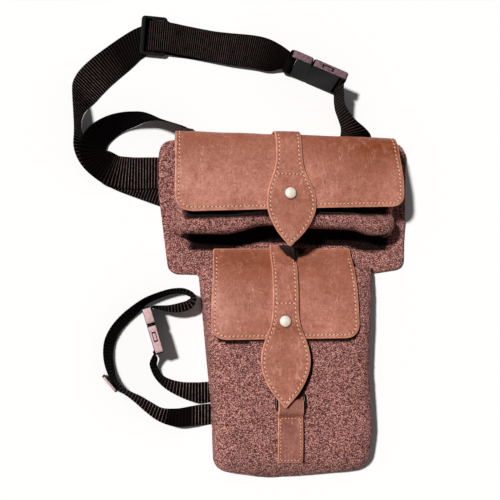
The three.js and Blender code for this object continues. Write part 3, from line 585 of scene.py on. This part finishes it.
def shell(name, grid, wall, rough=0.3, grainSize=2.6):
    # a felt wall from a grid of outer points: rows of equal length, closed at all four edges
    rows, columns = grid.shape[:2]
    out = np.cross(np.gradient(grid, axis=1), np.gradient(grid, axis=0))
    out /= np.linalg.norm(out, axis=2)[:, :, None] + 1e-12
    if out[rows // 2, columns // 2, 2] < 0:
        out = -out
    places, out = grid.reshape(-1, 3), out.reshape(-1, 3)
    bumps = rough * grain(places, grainSize, 3) + 0.5 * rough * grain(places, grainSize * 2.3, 5)
    outer = places + out * bumps[:, None]
    inner = places - out * wall
    inner[:, 2] = np.maximum(inner[:, 2], faceOf(inner[:, 1]) + 0.1)
    index = np.arange(rows * columns).reshape(rows, columns)
    corners = [index[:-1, :-1], index[:-1, 1:], index[1:, 1:], index[1:, :-1]]
    faces = []
    for a, b, c, d in np.stack(corners, axis=-1).reshape(-1, 4):
        faces += [(a, b, c, d), (index.size + a, index.size + d, index.size + c, index.size + b)]
    border = [*index[0], *index[1:, -1], *index[-1, -2::-1], *index[-2:0:-1, 0]]
    for a, b in zip(border, border[1:] + border[:1]):
        faces.append((a, b, index.size + b, index.size + a))
    return newObject(name, np.vstack([outer, inner]), faces, [feltMaterial])


def archGrid(path, boxiness, columns):
    # each row of the path (y, crest, 0, left, right) becomes an arch from the panel over the pocket and back
    turn = np.linspace(0, math.pi, 721)
    side = -np.sign(np.cos(turn)) * np.abs(np.cos(turn)) ** (2 / boxiness)
    rise = np.sin(turn) ** (2 / boxiness)
    grid = []
    for y, crest, _, left, right in path:
        floor = float(faceOf(y))
        arch = np.column_stack([(left + right) / 2 + side * (right - left) / 2, np.full(len(turn), y),
                                floor + rise * max(crest - floor, 0)])
        run = alongLine(arch)
        grid.append(atEach(np.linspace(0, run[-1], columns), run, arch))
    return np.array(grid)


def sinkShare(x):
    # the right end of the upper pocket holds less, so what lies over it sinks
    return 1 - 0.1 * smooth((x - 35) / 70)


upper = {
    "wall": 3,
    "rows": [  # y, crest, left, right
        (74, 6, -99, 90), (71.5, 16, -102, 93), (69, 27, -106, 97), (70, 37, -109, 100),
        (75, 41, -111.5, 103), (81, 42, -112.5, 104), (85.5, 39, -112.5, 104), (89, 31, -113, 104),
        (94, 30, -113, 104),
        (99.5, 37, -113, 104), (106, 42.2, -113, 104), (130, 42.2, -113, 104), (148, 40, -113, 103)],
    "wave": [  # x, how far the snapped tongue pulls the lower edge up
        (-120, 0), (-68, 0), (-25, 9), (25, 7), (58, 6), (80, 1), (110, 3)],
}


def upperEdge(x):
    return 70 + curveAt(x, upper["wave"])


def upperPocketGrid():
    path, _ = spline([(y, crest, 0, left, right) for y, crest, left, right in upper["rows"]], 1.8)
    grid = archGrid(path, 7, 150)
    places = grid.reshape(-1, 3)
    x, y, z = places.T.copy()
    raised = y + (1 - smooth((y - 72) / 40)) * curveAt(x, upper["wave"])
    floor = faceOf(raised)
    z += floor - faceOf(y)
    z = np.where(z > floor + 1, floor + (z - floor) * sinkShare(x), z)
    places[:, 1], places[:, 2] = raised, z
    places[:, 2] += np.where(z > 30, 0.7 * grain(places, 34, 8), 0)
    return grid


# painted shade and cast shadows, mixed into the felt's and leather's colour: how deep each goes and how far
# each shadow is thrown
shade = {
    "upper": 0.97, "lower": 0.95, "tip": 0.97,  # how deep: on the pockets and under the upper tongue's tip
    "flapThrow": (1.6, -3.4), "tongueThrow": (4, -2.6), "tipThrow": (9, -13), "parts": (0.35, 0.7, 1),
}
upperPocket = shell("upperPocket", upperPocketGrid(), upper["wall"])
x, y, z = placesOf(upperPocket).T  # painted shade, near black, where the pocket tucks in below and along the flap's edge
under = (1 - smooth((z - 27) / 6)) * (y < upperEdge(x) + 8)
flapEdge = 86 + 0.044 * (x + 115)
recess = smooth((y - flapEdge + 6.5) / 3)
middleOnly = smooth((x + 109) / 6) * smooth((100 - x) / 6)
pointValues(upperPocket, "shade", shade["upper"] * np.maximum(under, recess) * middleOnly)
x, y, _ = placesOf(backPanel).T  # and painted shadow on the panel below the pocket
below = upperEdge(x) - y
band = smooth((15.5 - below) / 2) * smooth((below + 30) / 8) * smooth((x + 104) / 8) * smooth((108 - x) / 8)
pointValues(backPanel, "shade", shade["upper"] * band)
settle(upperPocket, "felt", "upper_pocket")

lower = {
    "wall": 3,
    "rows": [  # y, crest
        (40, 16), (30, 20.5), (18, 24.5), (0, 27), (-124, 27), (-140, 25), (-149, 22), (-156, 17),
        (-161, 11), (-163.6, 7.5), (-164.4, 3.6)],
    "left": -89, "right": 85, "margin": 0.8, "foot": -164.9,
}


def lowerSpan(y):
    # where the lower pocket and what covers it may reach, inside the panel's edge
    left, right = spanAt(panelLoop, y)
    margin = lower["margin"]
    return np.maximum(left, lower["left"]) + margin, np.minimum(right, lower["right"]) - margin


def lowerPocketGrid():
    path, _ = spline([(y, crest, 0) for y, crest in lower["rows"]], 2.2)
    grid = archGrid(np.column_stack([path, *lowerSpan(np.maximum(path[:, 0], lower["foot"]))]), 5, 120)
    places = grid.reshape(-1, 3)
    high = smooth((places[:, 2] - 12) / 12)
    places[:, 2] += high * (1.1 * grain(places, 46, 11) + 0.5 * grain(places, 18, 12))
    return grid


lowerPocket = shell("lowerPocket", lowerPocketGrid(), lower["wall"])
settle(lowerPocket, "felt", "lower_pocket")
print("felt made")

leatherThick = 2.0
topOf = leatherThick / 2 - 0.3  # where a stitch lies, over the leather's middle


def pathPlace(rows, ripple=0.0, seed=0, shape=None):
    # rows are (y, z) from the far end to the free end; flat y is the distance from the free end
    path, s = spline([(0, y, z) for y, z in rows], 0.8)
    total = s[-1]
    run = np.gradient(path, axis=0)
    out = np.column_stack([np.zeros(len(run)), run[:, 2], -run[:, 1]])
    out /= np.linalg.norm(out, axis=1)[:, None]

    def place(flat):
        at = total - flat[:, 1]
        middle = atEach(at, s, path)
        middle[:, 0] = flat[:, 0]
        over = at > total
        if over.any():
            middle[over, 1:] += (at[over] - total)[:, None] * (run[-1] / np.linalg.norm(run[-1]))[1:]
        normal = atEach(at, s, out)
        normal /= np.linalg.norm(normal, axis=1)[:, None]
        if ripple:
            middle = middle + normal * (ripple * flatGrain(flat, 30, seed))[:, None]
        if shape:
            middle = shape(middle)
        return middle, normal

    return place, total


def seamRuns(loop, depth, keep):
    # the stitch line inside an outline, cut into the runs where keep(x, y) holds
    loop = anticlockwise(loop)
    line = inset(loop, depth)
    line = line[edgeDistance(line, loop) > 0.9 * depth]
    good = keep(*line.T)
    start = int(np.argmax(~good))
    line, good = np.roll(line, -start, axis=0), np.roll(good, -start)
    cuts = np.flatnonzero(np.diff(good)) + 1
    return [run for run, ok in zip(np.split(line, cuts), np.split(good, cuts)) if ok[0] and len(run) > 3]


def sewnLeather(node, loop, place, seam, fold, keep, spacing=2.0, pitch=3.9):
    # a leather piece with a stitched edge, stitched where keep holds
    name = pieceName(node)
    piece = cutSheet(name, loop, place, leatherThick, leatherMaterial, spacing, seam=seam, values=fold)
    settle(piece, "leather", node)
    stitches(name + "Stitches", seamRuns(loop, seam, keep), place, topOf, pitch)
    return piece


upperFlap = {
    "path": [(149, 8), (158, 8), (164.5, 10), (167.6, 17), (168, 28), (165.3, 37), (158, 43), (147, 44.4),
             (120, 44.4), (100, 44.2), (87, 43.8)],
    "seam": 3.7,
}


def upperFlapShape(middle):
    floor = faceOf(middle[:, 1])
    front = smooth((middle[:, 2] - 12) / 20)
    share = 1 - (1 - sinkShare(middle[:, 0])) * front
    middle[:, 2] = floor + (middle[:, 2] - floor) * share
    return middle


def upperFlapToneAndShade(flat):
    # how much darker and browner the leather is over the top bend and at the right side, partly its own tone
    # and partly painted shade; less of it along the top edge
    x, y = flat.T
    top = 0.55 * smooth((y - 38) / 36)
    side = 0.42 * smooth((x - 5) / 70) * smooth((y - 6) / 44)
    return np.clip(0.04 + top + side - 0.3 * bell(y, 86, 7), 0, 1)


upperFlapPlace, upperFlapLong = pathPlace(upperFlap["path"], ripple=0.7, seed=21, shape=upperFlapShape)
upperFlapLoop = roundedOutline([
    (-115.8, 1, 19), (109.8, 11, 17), (108.8, 40, 30), (104.5, 66, 24), (101.5, upperFlapLong - 24, 10),
    (101.5, upperFlapLong, 2), (-114, upperFlapLong, 2), (-115, 80, 40)], 1.2)
upperFlapPiece = sewnLeather(
    "upper_flap", upperFlapLoop, upperFlapPlace, upperFlap["seam"], upperFlapToneAndShade,
    lambda x, y: y < upperFlapLong - 30, spacing=2.2)

spearRows = [  # from a tongue's tip, its half width
    (0, 0.8), (4, 4.4), (9, 9.2), (16, 14.8), (25, 19.8), (35, 23.3), (42, 24), (50, 23.2), (58, 21),
    (66, 17.8), (74, 14.8), (84, 13), (100, 12.6), (200, 12.8)]


def spearLoop(total, middles, stretch=1.0):
    s = np.arange(0, total + 0.01, 1.0)
    half = curveAt(s / stretch, spearRows)
    middle = curveAt(s, middles)
    right, left = np.column_stack([middle + half, s]), np.column_stack([middle - half, s])
    return evenLoop(np.vstack([right, left[::-1]]), 1.0)


def tongueToneAndShade(tongue, flat):
    # darker towards the bend over the top, partly painted shade; a little darker around the snap; a crease
    # line darkened as painted shade; with random tone
    s = flat[:, 1]
    start, end = tongue["darkerAt"]
    high = 0.25 * smooth((s - start) / (end - start))
    low = 0.12 * bell(s, 40, 18) + tongue["creased"] * bell(s, 74, 5)
    return np.clip(0.32 + high + low + 0.26 * flatGrain(flat, 5, 77), 0, 1)


def makeTongue(node, tongue, placing):
    # gives back the piece and its outline as it lies
    place, total = placing
    loop = spearLoop(total, tongue["middle"], tongue["stretch"])
    piece = sewnLeather(
        node, loop, place, tongue["seam"], lambda flat: tongueToneAndShade(tongue, flat),
        lambda x, y: (y < total - np.where(x > -7, *tongue["unsewn"])) & (y > 2.5), 1.8, 4.2)
    left, right, s = tongue["cross"]
    stitches(pieceName(node) + "Cross", [np.array([(left, s), (right, s)])], place, topOf + 0.3, pitch=3.8,
             thread=0.55)
    return piece, place(loop)[0][:, :2]


upperTongue = {
    "path": [(170.1, 15), (170.8, 28), (167.6, 38.8), (159, 45.2), (147, 46.8), (120, 46.8), (98, 46.6),
             (84, 46.6), (70, 44.7), (57.2, 41.2)],
    "middle": [  # from the tip, x of its middle
        (0, -4.9), (28, -4.1), (42, -4.0), (70, -5.8), (100, -6.5), (180, -6.6)],
    "stretch": 1.0,  # how much longer than the table its spear is
    "seam": 3.2,
    "unsewn": (26, 26),  # its far end without stitches, at the right and at the left
    "darkerAt": (66, 125),  # where it is darker over the bend, partly painted shade, from the tip
    "creased": 0,
    "cross": (-18.6, 6.8, 69.3),  # the stitches across: left, right, from the tip
}
upperTonguePiece, upperSpear = makeTongue(
    "upper_tongue", upperTongue, pathPlace(upperTongue["path"], ripple=0.4, seed=31))

lowerFlap = {
    "corners": [
        (-75.5, 57, 2), (62.5, 59, 2), (65, 10, 60), (66.5, -30.5, 16), (-79, -32.5, 16), (-78.5, 6, 60)],
    "cover": [  # y, height of what it lies on
        (62, 3.5), (54, 6), (46, 12), (36, 20), (18, 26), (0, 28), (-34, 29), (-60, 30), (-74, 31.5),
        (-88, 34.5), (-98, 36)],
    "seam": 3.5,
}


def coverAt(x, y):
    left, right = lowerSpan(np.minimum(y, 26))
    across = np.clip(np.abs((x - (left + right) / 2) / ((right - left) / 2)), 0, 1)
    floor = faceOf(y) + 0.3
    crest = curveAt(y, lowerFlap["cover"])
    return floor + np.maximum(crest - floor, 0) * (1 - across**5) ** 0.2


def lowerFlapPlace(flat):
    x, y = flat.T
    near = 0.5
    slopeX = (coverAt(x + near, y) - coverAt(x - near, y)) / (2 * near)
    slopeY = (coverAt(x, y + near) - coverAt(x, y - near)) / (2 * near)
    normal = np.column_stack([-slopeX, -slopeY, np.ones(len(x))])
    normal /= np.linalg.norm(normal, axis=1)[:, None]
    z = coverAt(x, y) + 1.5 + 0.6 * flatGrain(flat, 26, 41) * smooth((50 - y) / 20)
    return np.column_stack([x, y, z]), normal


def lowerFlapToneAndShade(flat):
    # darker and browner where the flap rises from the panel at the top, less at the right, partly its own
    # tone and partly painted shade; and painted shade towards its lower left edge
    x, y = flat.T
    low = 0.3 * bell(y, -32, 18) * smooth((30 - x) / 60)
    right = 1 - 0.45 * smooth((x - 10) / 40)
    return np.clip(0.12 + 0.62 * right * smooth((y + 6) / 48) + low, 0, 1)


lowerFlapLoop = roundedOutline(lowerFlap["corners"], 1.2)
lowerFlapPiece = sewnLeather(
    "lower_flap", lowerFlapLoop, lowerFlapPlace, lowerFlap["seam"], lowerFlapToneAndShade,
    lambda x, y: y < 50)

lowerTongue = {
    "over": 4.5,  # its middle above the flap's cover
    "tip": (-96, 38.6),
    "middle": [(0, -9.3), (40, -8.2), (80, -8.0), (110, -7.5), (190, -6.6)],
    "stretch": 1.05,
    "seam": 3.2,
    "unsewn": (17, 8),
    "darkerAt": (95, 150),
    "creased": 0.4,
    "cross": (-17.4, 2.2, 99),
}
lowerTonguePath = [(y, float(curveAt(y, lowerFlap["cover"])) + lowerTongue["over"])
                   for y in np.arange(62, -90, -8)]
lowerTonguePiece, lowerSpear = makeTongue(
    "lower_tongue", lowerTongue, pathPlace(lowerTonguePath + [lowerTongue["tip"]], ripple=0.4, seed=51))

# the shadows that the lower flap and tongue throw on the felt, and the upper tongue's tip on both, painted
# into their colour
places = placesOf(lowerPocket)
under = np.zeros(len(places), bool)
for cover, throw in ((lowerFlapLoop, shade["flapThrow"]), (lowerSpear, shade["tongueThrow"])):
    for part in shade["parts"]:
        under |= insideLoop(places[:, :2], cover + np.array(throw) * part)
pointValues(lowerPocket, "shade", shade["lower"] * (under & (places[:, 2] > 14)))
thrown = upperSpear + np.array(shade["tipThrow"])
for piece in (lowerFlapPiece, lowerTonguePiece):
    pointValues(piece, "shade", shade["tip"] * insideLoop(placesOf(piece)[:, :2], thrown))

keeper = {
    "path": [(-104.5, 28.6), (-96, 28.8), (-91, 29), (-88.8, 31), (-90.6, 33.2), (-96, 33.8), (-101, 33),
             (-104, 30.4), (-107, 30.2), (-113, 30.5), (-124, 30.4), (-138, 29.3), (-148.5, 26.2)],
    "left": -15.3, "right": 9.0,
    "thick": 1.8, "crease": 44.5, "seam": 2.6,
}
keeperPlace, keeperLong = pathPlace(keeper["path"])
keeperLoop = roundedOutline([(keeper["left"], 0, 1.5), (keeper["right"], 0, 1.5),
                             (keeper["right"], keeperLong, 1), (keeper["left"], keeperLong, 1)], 1.0)
# painted shadow: a dark line along the crease where the loop around the ring meets the stitched end, over a
# faint darker tone
keeperPiece = cutSheet("ringKeeper", keeperLoop, keeperPlace, keeper["thick"], keeperMaterial, spacing=1.4,
                       values=lambda flat: 0.1 + 0.7 * bell(flat[:, 1], keeper["crease"], 2.4))
settle(keeperPiece, "leather", "ring_keeper")
left, right = keeper["left"] + keeper["seam"], keeper["right"] - keeper["seam"]
low, high = 2.8, keeper["crease"] - 2
keeperBox = np.array([(left, low), (right, low), (right, high), (left, high), (left, low)])
stitches("ringKeeperStitches", [keeperBox[i:i + 2] for i in range(4)], keeperPlace, 0.75, pitch=3.4,
         thread=0.32)
print("leather made")

snap = {
    "sides": 40,
    "rimRows": 7,  # the rows below the cap's dome
    "profile": [  # radius, height
        (2.4, -4.6), (2.5, -0.4), (5.6, -0.2), (6.1, 0.1), (6.2, 0.5), (5.9, 0.8), (5.5, 0.85), (5.4, 1.1),
        (5.1, 1.6), (4.2, 2.1), (2.8, 2.5), (1.2, 2.65), (0.2, 2.7)],
    "places": [("upper_snap", (-5.3, 107.5, 47.9)), ("lower_snap", (-8.5, -14.5, 34.1))],
}


def snapCap(node, at):
    sides, profile = snap["sides"], snap["profile"]
    verts = [(at[0] + radius * x, at[1] + radius * y, at[2] + z)
             for radius, z in profile for x, y in circle(sides)]
    cap = newObject(pieceName(node), verts, ringFaces(len(profile), sides), [snapMaterial, snapRimMaterial])
    marks = [int(row < snap["rimRows"]) for row in range(len(profile) - 1) for k in range(sides)]
    cap.data.polygons.foreach_set("material_index", marks + [1, 0])
    settle(cap, "snap_metal", node)


for node, at in snap["places"]:
    snapCap(node, at)

ring = {"wide": 27.2, "long": 17.4, "corner": 5, "wire": 2.8, "x": -3.0, "y": -99.4, "z": 30.9, "tilt": -0.1,
        "sides": 12}


def wireLoop(name, line, wire, sides):
    verts = []
    for here, before, after in zip(line, np.roll(line, 1, axis=0), np.roll(line, -1, axis=0)):
        run = (after - before) / np.linalg.norm(after - before)
        across = np.cross(run, (0, 0, 1))
        across /= np.linalg.norm(across)
        up = np.cross(across, run)
        verts += [here + wire / 2 * (x * across + y * up) for x, y in circle(sides)]
    return newObject(name, verts, ringFaces(len(line), sides, closed=True), [ringMaterial])


half, far, corner = ring["wide"] / 2, ring["long"], ring["corner"]
ringCorners = [(half, 0, corner), (half, far, corner), (-half, far, corner), (-half, 0, corner)]
x, y = roundedOutline(ringCorners, 1.0).T
rise, reach = math.sin(ring["tilt"]), math.cos(ring["tilt"])
ringLine = np.column_stack([ring["x"] + x, ring["y"] + y * reach, ring["z"] + y * rise])
settle(wireLoop("keeperRing", ringLine, ring["wire"], ring["sides"]), "ring_metal", "keeper_ring")


weave = {"thick": 1.3, "columns": 13, "groove": 0.2, "rib": 0.24, "stray": 0.15, "strayLong": 23}


def webbing(strap):
    # rows: x, y, heading and lean of the line from the low edge to the high edge, height of the low
    # edge; lean and height are 0 where they are left out
    name = pieceName(strap["node"])
    half, thick, ribPitch = strap["width"] / 2, weave["thick"], strap["ribPitch"]
    start = []
    for row in strap["rows"]:
        x, y, across, lean, raised = (*row, 0, 0)[:5]
        tilt = math.radians(lean)
        z = raised + half * abs(math.sin(tilt)) + thick / 2 * abs(math.cos(tilt))
        start.append((x, y, z, across, lean))
    path, s = spline(start, ribPitch / 4)
    middle = path[:, :3]
    run = np.gradient(middle, axis=0)
    run /= np.linalg.norm(run, axis=1)[:, None]
    heading, lean = np.radians(path[:, 3]), np.radians(path[:, 4])
    wide = np.column_stack([np.cos(heading) * np.cos(lean), np.sin(heading) * np.cos(lean), np.sin(lean)])
    face = np.cross(run, wide)
    face /= np.linalg.norm(face, axis=1)[:, None]
    stray = weave["stray"] * flatGrain(np.column_stack([s, s * 0]), weave["strayLong"], len(name))
    middle = middle + face * stray[:, None]
    low = middle[:, 2] - half * np.abs(wide[:, 2]) - thick / 2 * np.abs(face[:, 2])
    middle[:, 2] += np.maximum(0.02 - low, 0)  # no edge goes below the floor
    columns = weave["columns"]
    u = np.sin(np.linspace(-math.pi / 2, math.pi / 2, columns))
    body = (1 - np.abs(u) ** 10) ** 0.5
    rib = 0.5 + 0.5 * np.cos(2 * math.pi * s / ribPitch)
    front = [(u[c] * half, body[c], 1) for c in range(columns)]
    back = [(u[c] * half, body[c], -1) for c in range(columns - 2, 0, -1)]
    verts, ribs = [], []
    for i in range(len(s)):
        for over, full, side in front + back:
            ribs.append(rib[i] if side > 0 else 1 - rib[i])
            out = (thick / 2 - weave["groove"] + weave["rib"] * ribs[-1]) * full
            verts.append(middle[i] + wide[i] * over + face[i] * out * side)
    loop = len(front + back)
    obj = newObject(name, verts, ringFaces(len(s), loop), [webbingMaterial])
    pointValues(obj, "rib", ribs)
    # the painted highlight's strength along the strap
    worn = np.interp(s / s[-1], *zip(*strap["worn"]))
    pointValues(obj, "worn", np.repeat(worn, loop))
    settle(obj, "webbing", strap["node"])


waistBuckle = {"x": 26, "y": 235.4, "z": 19.6, "run": -21.5, "across": 68.5, "lean": 81, "strap": 32,
               "rise": 0.15}
thighBuckle = {"x": -134.2, "y": -23.2, "z": 14.4, "run": -72.8, "across": 17.2, "lean": 90, "strap": 20,
               "rise": 0}


def besideBuckle(buckle, places):
    # strap rows from places given along a buckle and out from its middle
    turn = math.radians(buckle["run"])
    out = turn - math.pi / 2
    drop = buckle["strap"] / 2 * math.sin(math.radians(buckle["lean"])) + 0.1
    rows = []
    for along, over in places:
        x = buckle["x"] + along * math.cos(turn) + over * math.cos(out)
        y = buckle["y"] + along * math.sin(turn) + over * math.sin(out)
        rows.append((x, y, buckle["across"], buckle["lean"], buckle["z"] - drop + over * buckle["rise"]))
    return rows


def leaning(rows, headings, lean, raised):
    # the same places with headings, lean and height of their own
    return [(x, y, heading, lean, raised) for (x, y, *_), heading in zip(rows, headings)]


# each strap's rows are x, y, heading, lean, height; a table by the share of its length gives how strong the
# pale painted highlight on its rib crests is
beltLong = {
    "node": "belt_long", "width": 32, "ribPitch": 2.8,
    "worn": [(0, 0.3), (0.24, 0.4), (0.3, 0.3), (0.36, 1), (0.47, 1), (0.54, 0.4), (0.6, 0.05), (1, 0.1)],
    "rows": [
        (-62, 96, 258), (-100, 107, 255), (-125, 115, 252), (-144, 121.5, 250), (-167, 130, 247, 2),
        (-187, 141, 229, 12), (-200.5, 152, 196, 47), (-206.5, 164, 182, 74), (-208.4, 175, 168, 80),
        (-208.8, 186, 148, 76), (-208, 195, 142, 66), (-206, 203, 144, 52), (-203.4, 209.5, 144, 38),
        (-199.5, 217, 140, 26), (-194.5, 224, 138, 18), (-187.7, 231.9, 135, 11), (-179.1, 240.3, 129, 5),
        (-170.4, 248.2, 124, 1), (-160.5, 256.6, 112), (-151, 264, 100), (-137, 270, 88), (-121, 269.8, 84),
        (-107, 267.6, 82), (-61, 262.5, 81, 6), (-30, 257.5, 77, 33), (-14, 251.8, 72, 60, 1.5),
        (-2.8, 247.8, 68.5, 81, 3.6)]}
beltEnd = {
    "node": "belt_end", "width": 31.6, "ribPitch": 2.1,
    "worn": [(0, 0), (0.25, 0.05), (0.34, 0.2), (0.5, 0.28), (0.9, 0.28), (1, 0.1)],
    "rows": besideBuckle(waistBuckle, [
        (-31.4, -1.4), (-31, -4), (-28.6, -5), (-25.6, -5), (-23.6, -4.2), (-23.6, -2.8), (-24.8, 0),
        (-26, 2.8), (-27.2, 4.8), (-29, 5), (-31, 4)]) + [
        (-3.7, 245.2, 68.5, 81, 4), (-15.2, 248.2, 72, 57, 3.3), (-30.6, 255.4, 77, 30, 3.3),
        (-61, 261, 81, 4, 3.6), (-104, 267.7, 83, 0, 3.2), (-115, 268.9, 84, 0, 5.2),
        (-121, 269.6, 85, 0, 6), (-131, 270.4, 86, 0, 6), (-138.6, 270.9, 86, 0, 6),
        (-141.3, 271, 86, 0, 3.8), (-138.6, 270.9, 86, 0, 1.7), (-132.6, 270.5, 86, 0, 1.6)]}
beltBend = {
    "node": "belt_bend", "width": 32, "ribPitch": 2.8,
    "worn": [(0, 1), (0.06, 0.7), (0.1, 0), (0.4, 0), (0.46, 0.65), (1, 0.65)],
    "rows": [
        (-97, 173.2, 74, 109), (-104, 175.8, 73, 103), (-109, 177.6, 72, 103), (-119, 180.6, 74, 104),
        (-129, 182.8, 78, 101), (-138, 184.3, 84, 93), (-146, 184.2, 92, 84), (-154, 182.6, 104, 76),
        (-165.5, 179.8, 116, 68), (-178, 173.8, 128, 57), (-189.5, 164, 146, 47, 1),
        (-194, 152.5, 182, 38, 2), (-188.5, 142, 218, 24, 2.2), (-176.5, 134, 250, 6, 2),
        (-158, 131.5, 268, 0, 1.8), (-130, 132, 270, 0, 1.8), (-60, 132, 270, 0, 1.8),
        (20, 132, 270, 0, 1.8)]}
beltRight = {
    "node": "belt_right", "width": 32, "ribPitch": 2.8,
    "worn": [(0, 0.2), (0.4, 0.35), (1, 0.4)],
    "rows": besideBuckle(waistBuckle, [(23.4, -3.8), (23.7, -2.4), (24.8, 0.2), (26, 2.8), (27, 5.2)]) + [
        (49.6, 218.9, -8, 84, 3.4), (50.3, 210, -8, 85, 1.2), (51.6, 202, -6, 86), (55, 194, 4, 84),
        (61, 183.5, 6, 72), (67, 176.5, 2, 44), (71.5, 172.5, 0, 8, 0.2), (74, 166, 0, 0, 0.8),
        (80, 132, 0, 0, 1.2)]}
legStrapLong = {
    "node": "leg_strap_long", "width": 20, "ribPitch": 3.2,
    "worn": [
        (0, 0.8), (0.345, 0.8), (0.358, 0), (0.408, 0), (0.425, 1), (0.5, 0.9), (0.54, 0.5), (0.57, 0.12),
        (0.8, 0.1), (0.86, 0.45), (0.94, 0.4), (1, 0.1)],
    "rows": [
        (58, -104, 270), (-76, -104, 270), (-97, -105.6, 268, 24), (-110, -106.6, 264, 34),
        (-125.9, -103.2, 248, 54), (-137.3, -96.1, 240, 62), (-147.2, -88.8, 236, 70),
        (-154.5, -84.2, 230, 77), (-163, -78.6, 219, 80), (-169.5, -71, 206, 78), (-174, -59, 184, 68),
        (-176, -46, 177, 64), (-174.4, -33.1, 162, 60), (-169.4, -22.2, 150, 61), (-161.4, -12.6, 138, 61),
        (-152.8, -4.8, 126, 63), (-141.4, 4.6, 118, 72), (-127.2, 11, 110, 75), (-115, 14.6, 100, 77),
        (-103.5, 14.6, 80, 78), (-95, 9.2, 8, 78), (-99, 2.2, -66, 64), (-108, -0.9, -86, 62, 0.2),
        (-119, -2, -92, 70, 1.5), (-135.4, -1.2, -90, 84, 4)] + leaning(
        besideBuckle(thighBuckle, [(-19.4, -4.6), (-18.5, -2.4), (-18.4, 0.6)]), (-90, -90, -90), 84, 4.6)}
legStrapShort = {
    "node": "leg_strap_short", "width": 20, "ribPitch": 3.2,
    "worn": [(0, 0.75), (0.4, 0.7), (0.6, 0.8), (0.68, 0.15), (1, 0.05)],
    "rows": [
        (-48, -83, 270), (-77, -83, 270), (-91, -83, 269, 18), (-104.7, -80.2, 262, 44),
        (-117.8, -75, 250, 60), (-126.8, -68.4, 222, 70), (-131, -61.5, 184, 68), (-133, -55.3, 166, 68, 1),
        (-131.4, -48.3, 150, 74, 3)] + leaning(
        besideBuckle(thighBuckle, [(22, 4.7), (19.6, 4.5), (18.6, 2.6), (18.4, 0)]), (162, 170, 174, 176),
        86, 4.2)}
for strap in (beltLong, beltEnd, beltBend, beltRight, legStrapLong, legStrapShort):
    webbing(strap)
print("webbing made")

mouldings = [  # node, edge radius, painted glare on its upper face
    ("belt_slide", 0.6, None),
    ("belt_buckle_case", 1.2, dimGlareMaterial), ("belt_buckle_plug", 1.0, dimGlareMaterial),
    ("leg_buckle_case", 0.9, brightGlareMaterial), ("leg_buckle_plug", 0.8, brightGlareMaterial),
    ("leg_slide", 0.5, brightGlareMaterial)]


def moulded(node, radius, worn):
    # the frame's own solid with moulded, rounded edges
    obj = placed(pieceName(node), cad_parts[node].data.copy())
    shape = bmesh.new()
    shape.from_mesh(obj.data)
    bmesh.ops.remove_doubles(shape, verts=shape.verts, dist=1e-5)
    bmesh.ops.dissolve_limit(shape, angle_limit=0.02, verts=shape.verts, edges=shape.edges)
    shape.to_mesh(obj.data)
    shape.free()
    obj.data.materials.clear()
    obj.data.materials.append(plasticMaterial)
    rounder = obj.modifiers.new("round", "BEVEL")
    rounder.width = radius * mm
    rounder.segments = 3
    rounder.limit_method = "ANGLE"
    rounder.angle_limit = math.radians(40)
    bpy.context.view_layer.update()
    done = bpy.data.meshes.new_from_object(obj.evaluated_get(bpy.context.evaluated_depsgraph_get()))
    obj.modifiers.clear()
    obj.data = done
    done.polygons.foreach_set("use_smooth", [True] * len(done.polygons))
    done.update()
    done.set_sharp_from_angle(angle=math.radians(35))
    # painted reflection: the upward faces at the top take the pale glare colour
    if worn:
        done.materials.append(worn)
        top = max(v.co.z for v in done.vertices)
        for face in done.polygons:
            if face.normal.z > 0.9 and face.center.z > top - 4 * mm:
                face.material_index = 1
    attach(obj, "root")
    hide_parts(node)


for node, radius, worn in mouldings:
    moulded(node, radius, worn)
print("buckles made")

stage = {
    "floor": (0.86, 0.85, 0.84), "floorAt": -0.0004, "floorSize": 40,
    "sun": 3.95, "sunSize": 5, "toSun": (-0.906, 0.42), "sunHeight": 57.4,
    "sky": 0.12, "skyColour": (0.95, 0.96, 1.0),
}
bpy.ops.mesh.primitive_plane_add(size=stage["floorSize"], location=(0, 0, stage["floorAt"]))
floor = bpy.context.object
floor.name = "floor"
floorMaterial, _, floorShader = shaded("paleFloor", 0.9, specular=0.1)
floorShader.inputs["Base Color"].default_value = (*stage["floor"], 1)
floor.data.materials.append(floorMaterial)

sun = bpy.data.lights.new("sun", "SUN")
sun.energy = stage["sun"]
sun.angle = math.radians(stage["sunSize"])
sunObject = placed("sun", sun)
height = math.radians(stage["sunHeight"])
toSun = Vector([way * math.cos(height) for way in stage["toSun"]] + [math.sin(height)])
sunObject.rotation_euler = toSun.to_track_quat("Z", "Y").to_euler()

world = bpy.data.worlds.new("studio")
world.use_nodes = True
background = world.node_tree.nodes["Background"]
background.inputs["Color"].default_value = (*stage["skyColour"], 1)
background.inputs["Strength"].default_value = stage["sky"]
bpy.context.scene.world = world
bpy.context.scene.view_settings.view_transform = "Standard"

view = {"target": (-0.038, 0.057, 0.0), "from": (-0.134, -0.10, 1.0), "distance": 0.85, "lens": 61.2}
target = Vector(view["target"])
back = Vector(view["from"]).normalized()
right = Vector((0, 1, 0)).cross(back).normalized()
turned = Matrix((right, back.cross(right), back)).transposed().to_4x4()
camera = bpy.data.cameras.new("camera")
camera.lens = view["lens"]
camera.sensor_width = 36
cameraObject = placed("camera", camera)
cameraObject.matrix_world = Matrix.Translation(target + back * view["distance"]) @ turned
bpy.context.scene.camera = cameraObject
print("stage made")
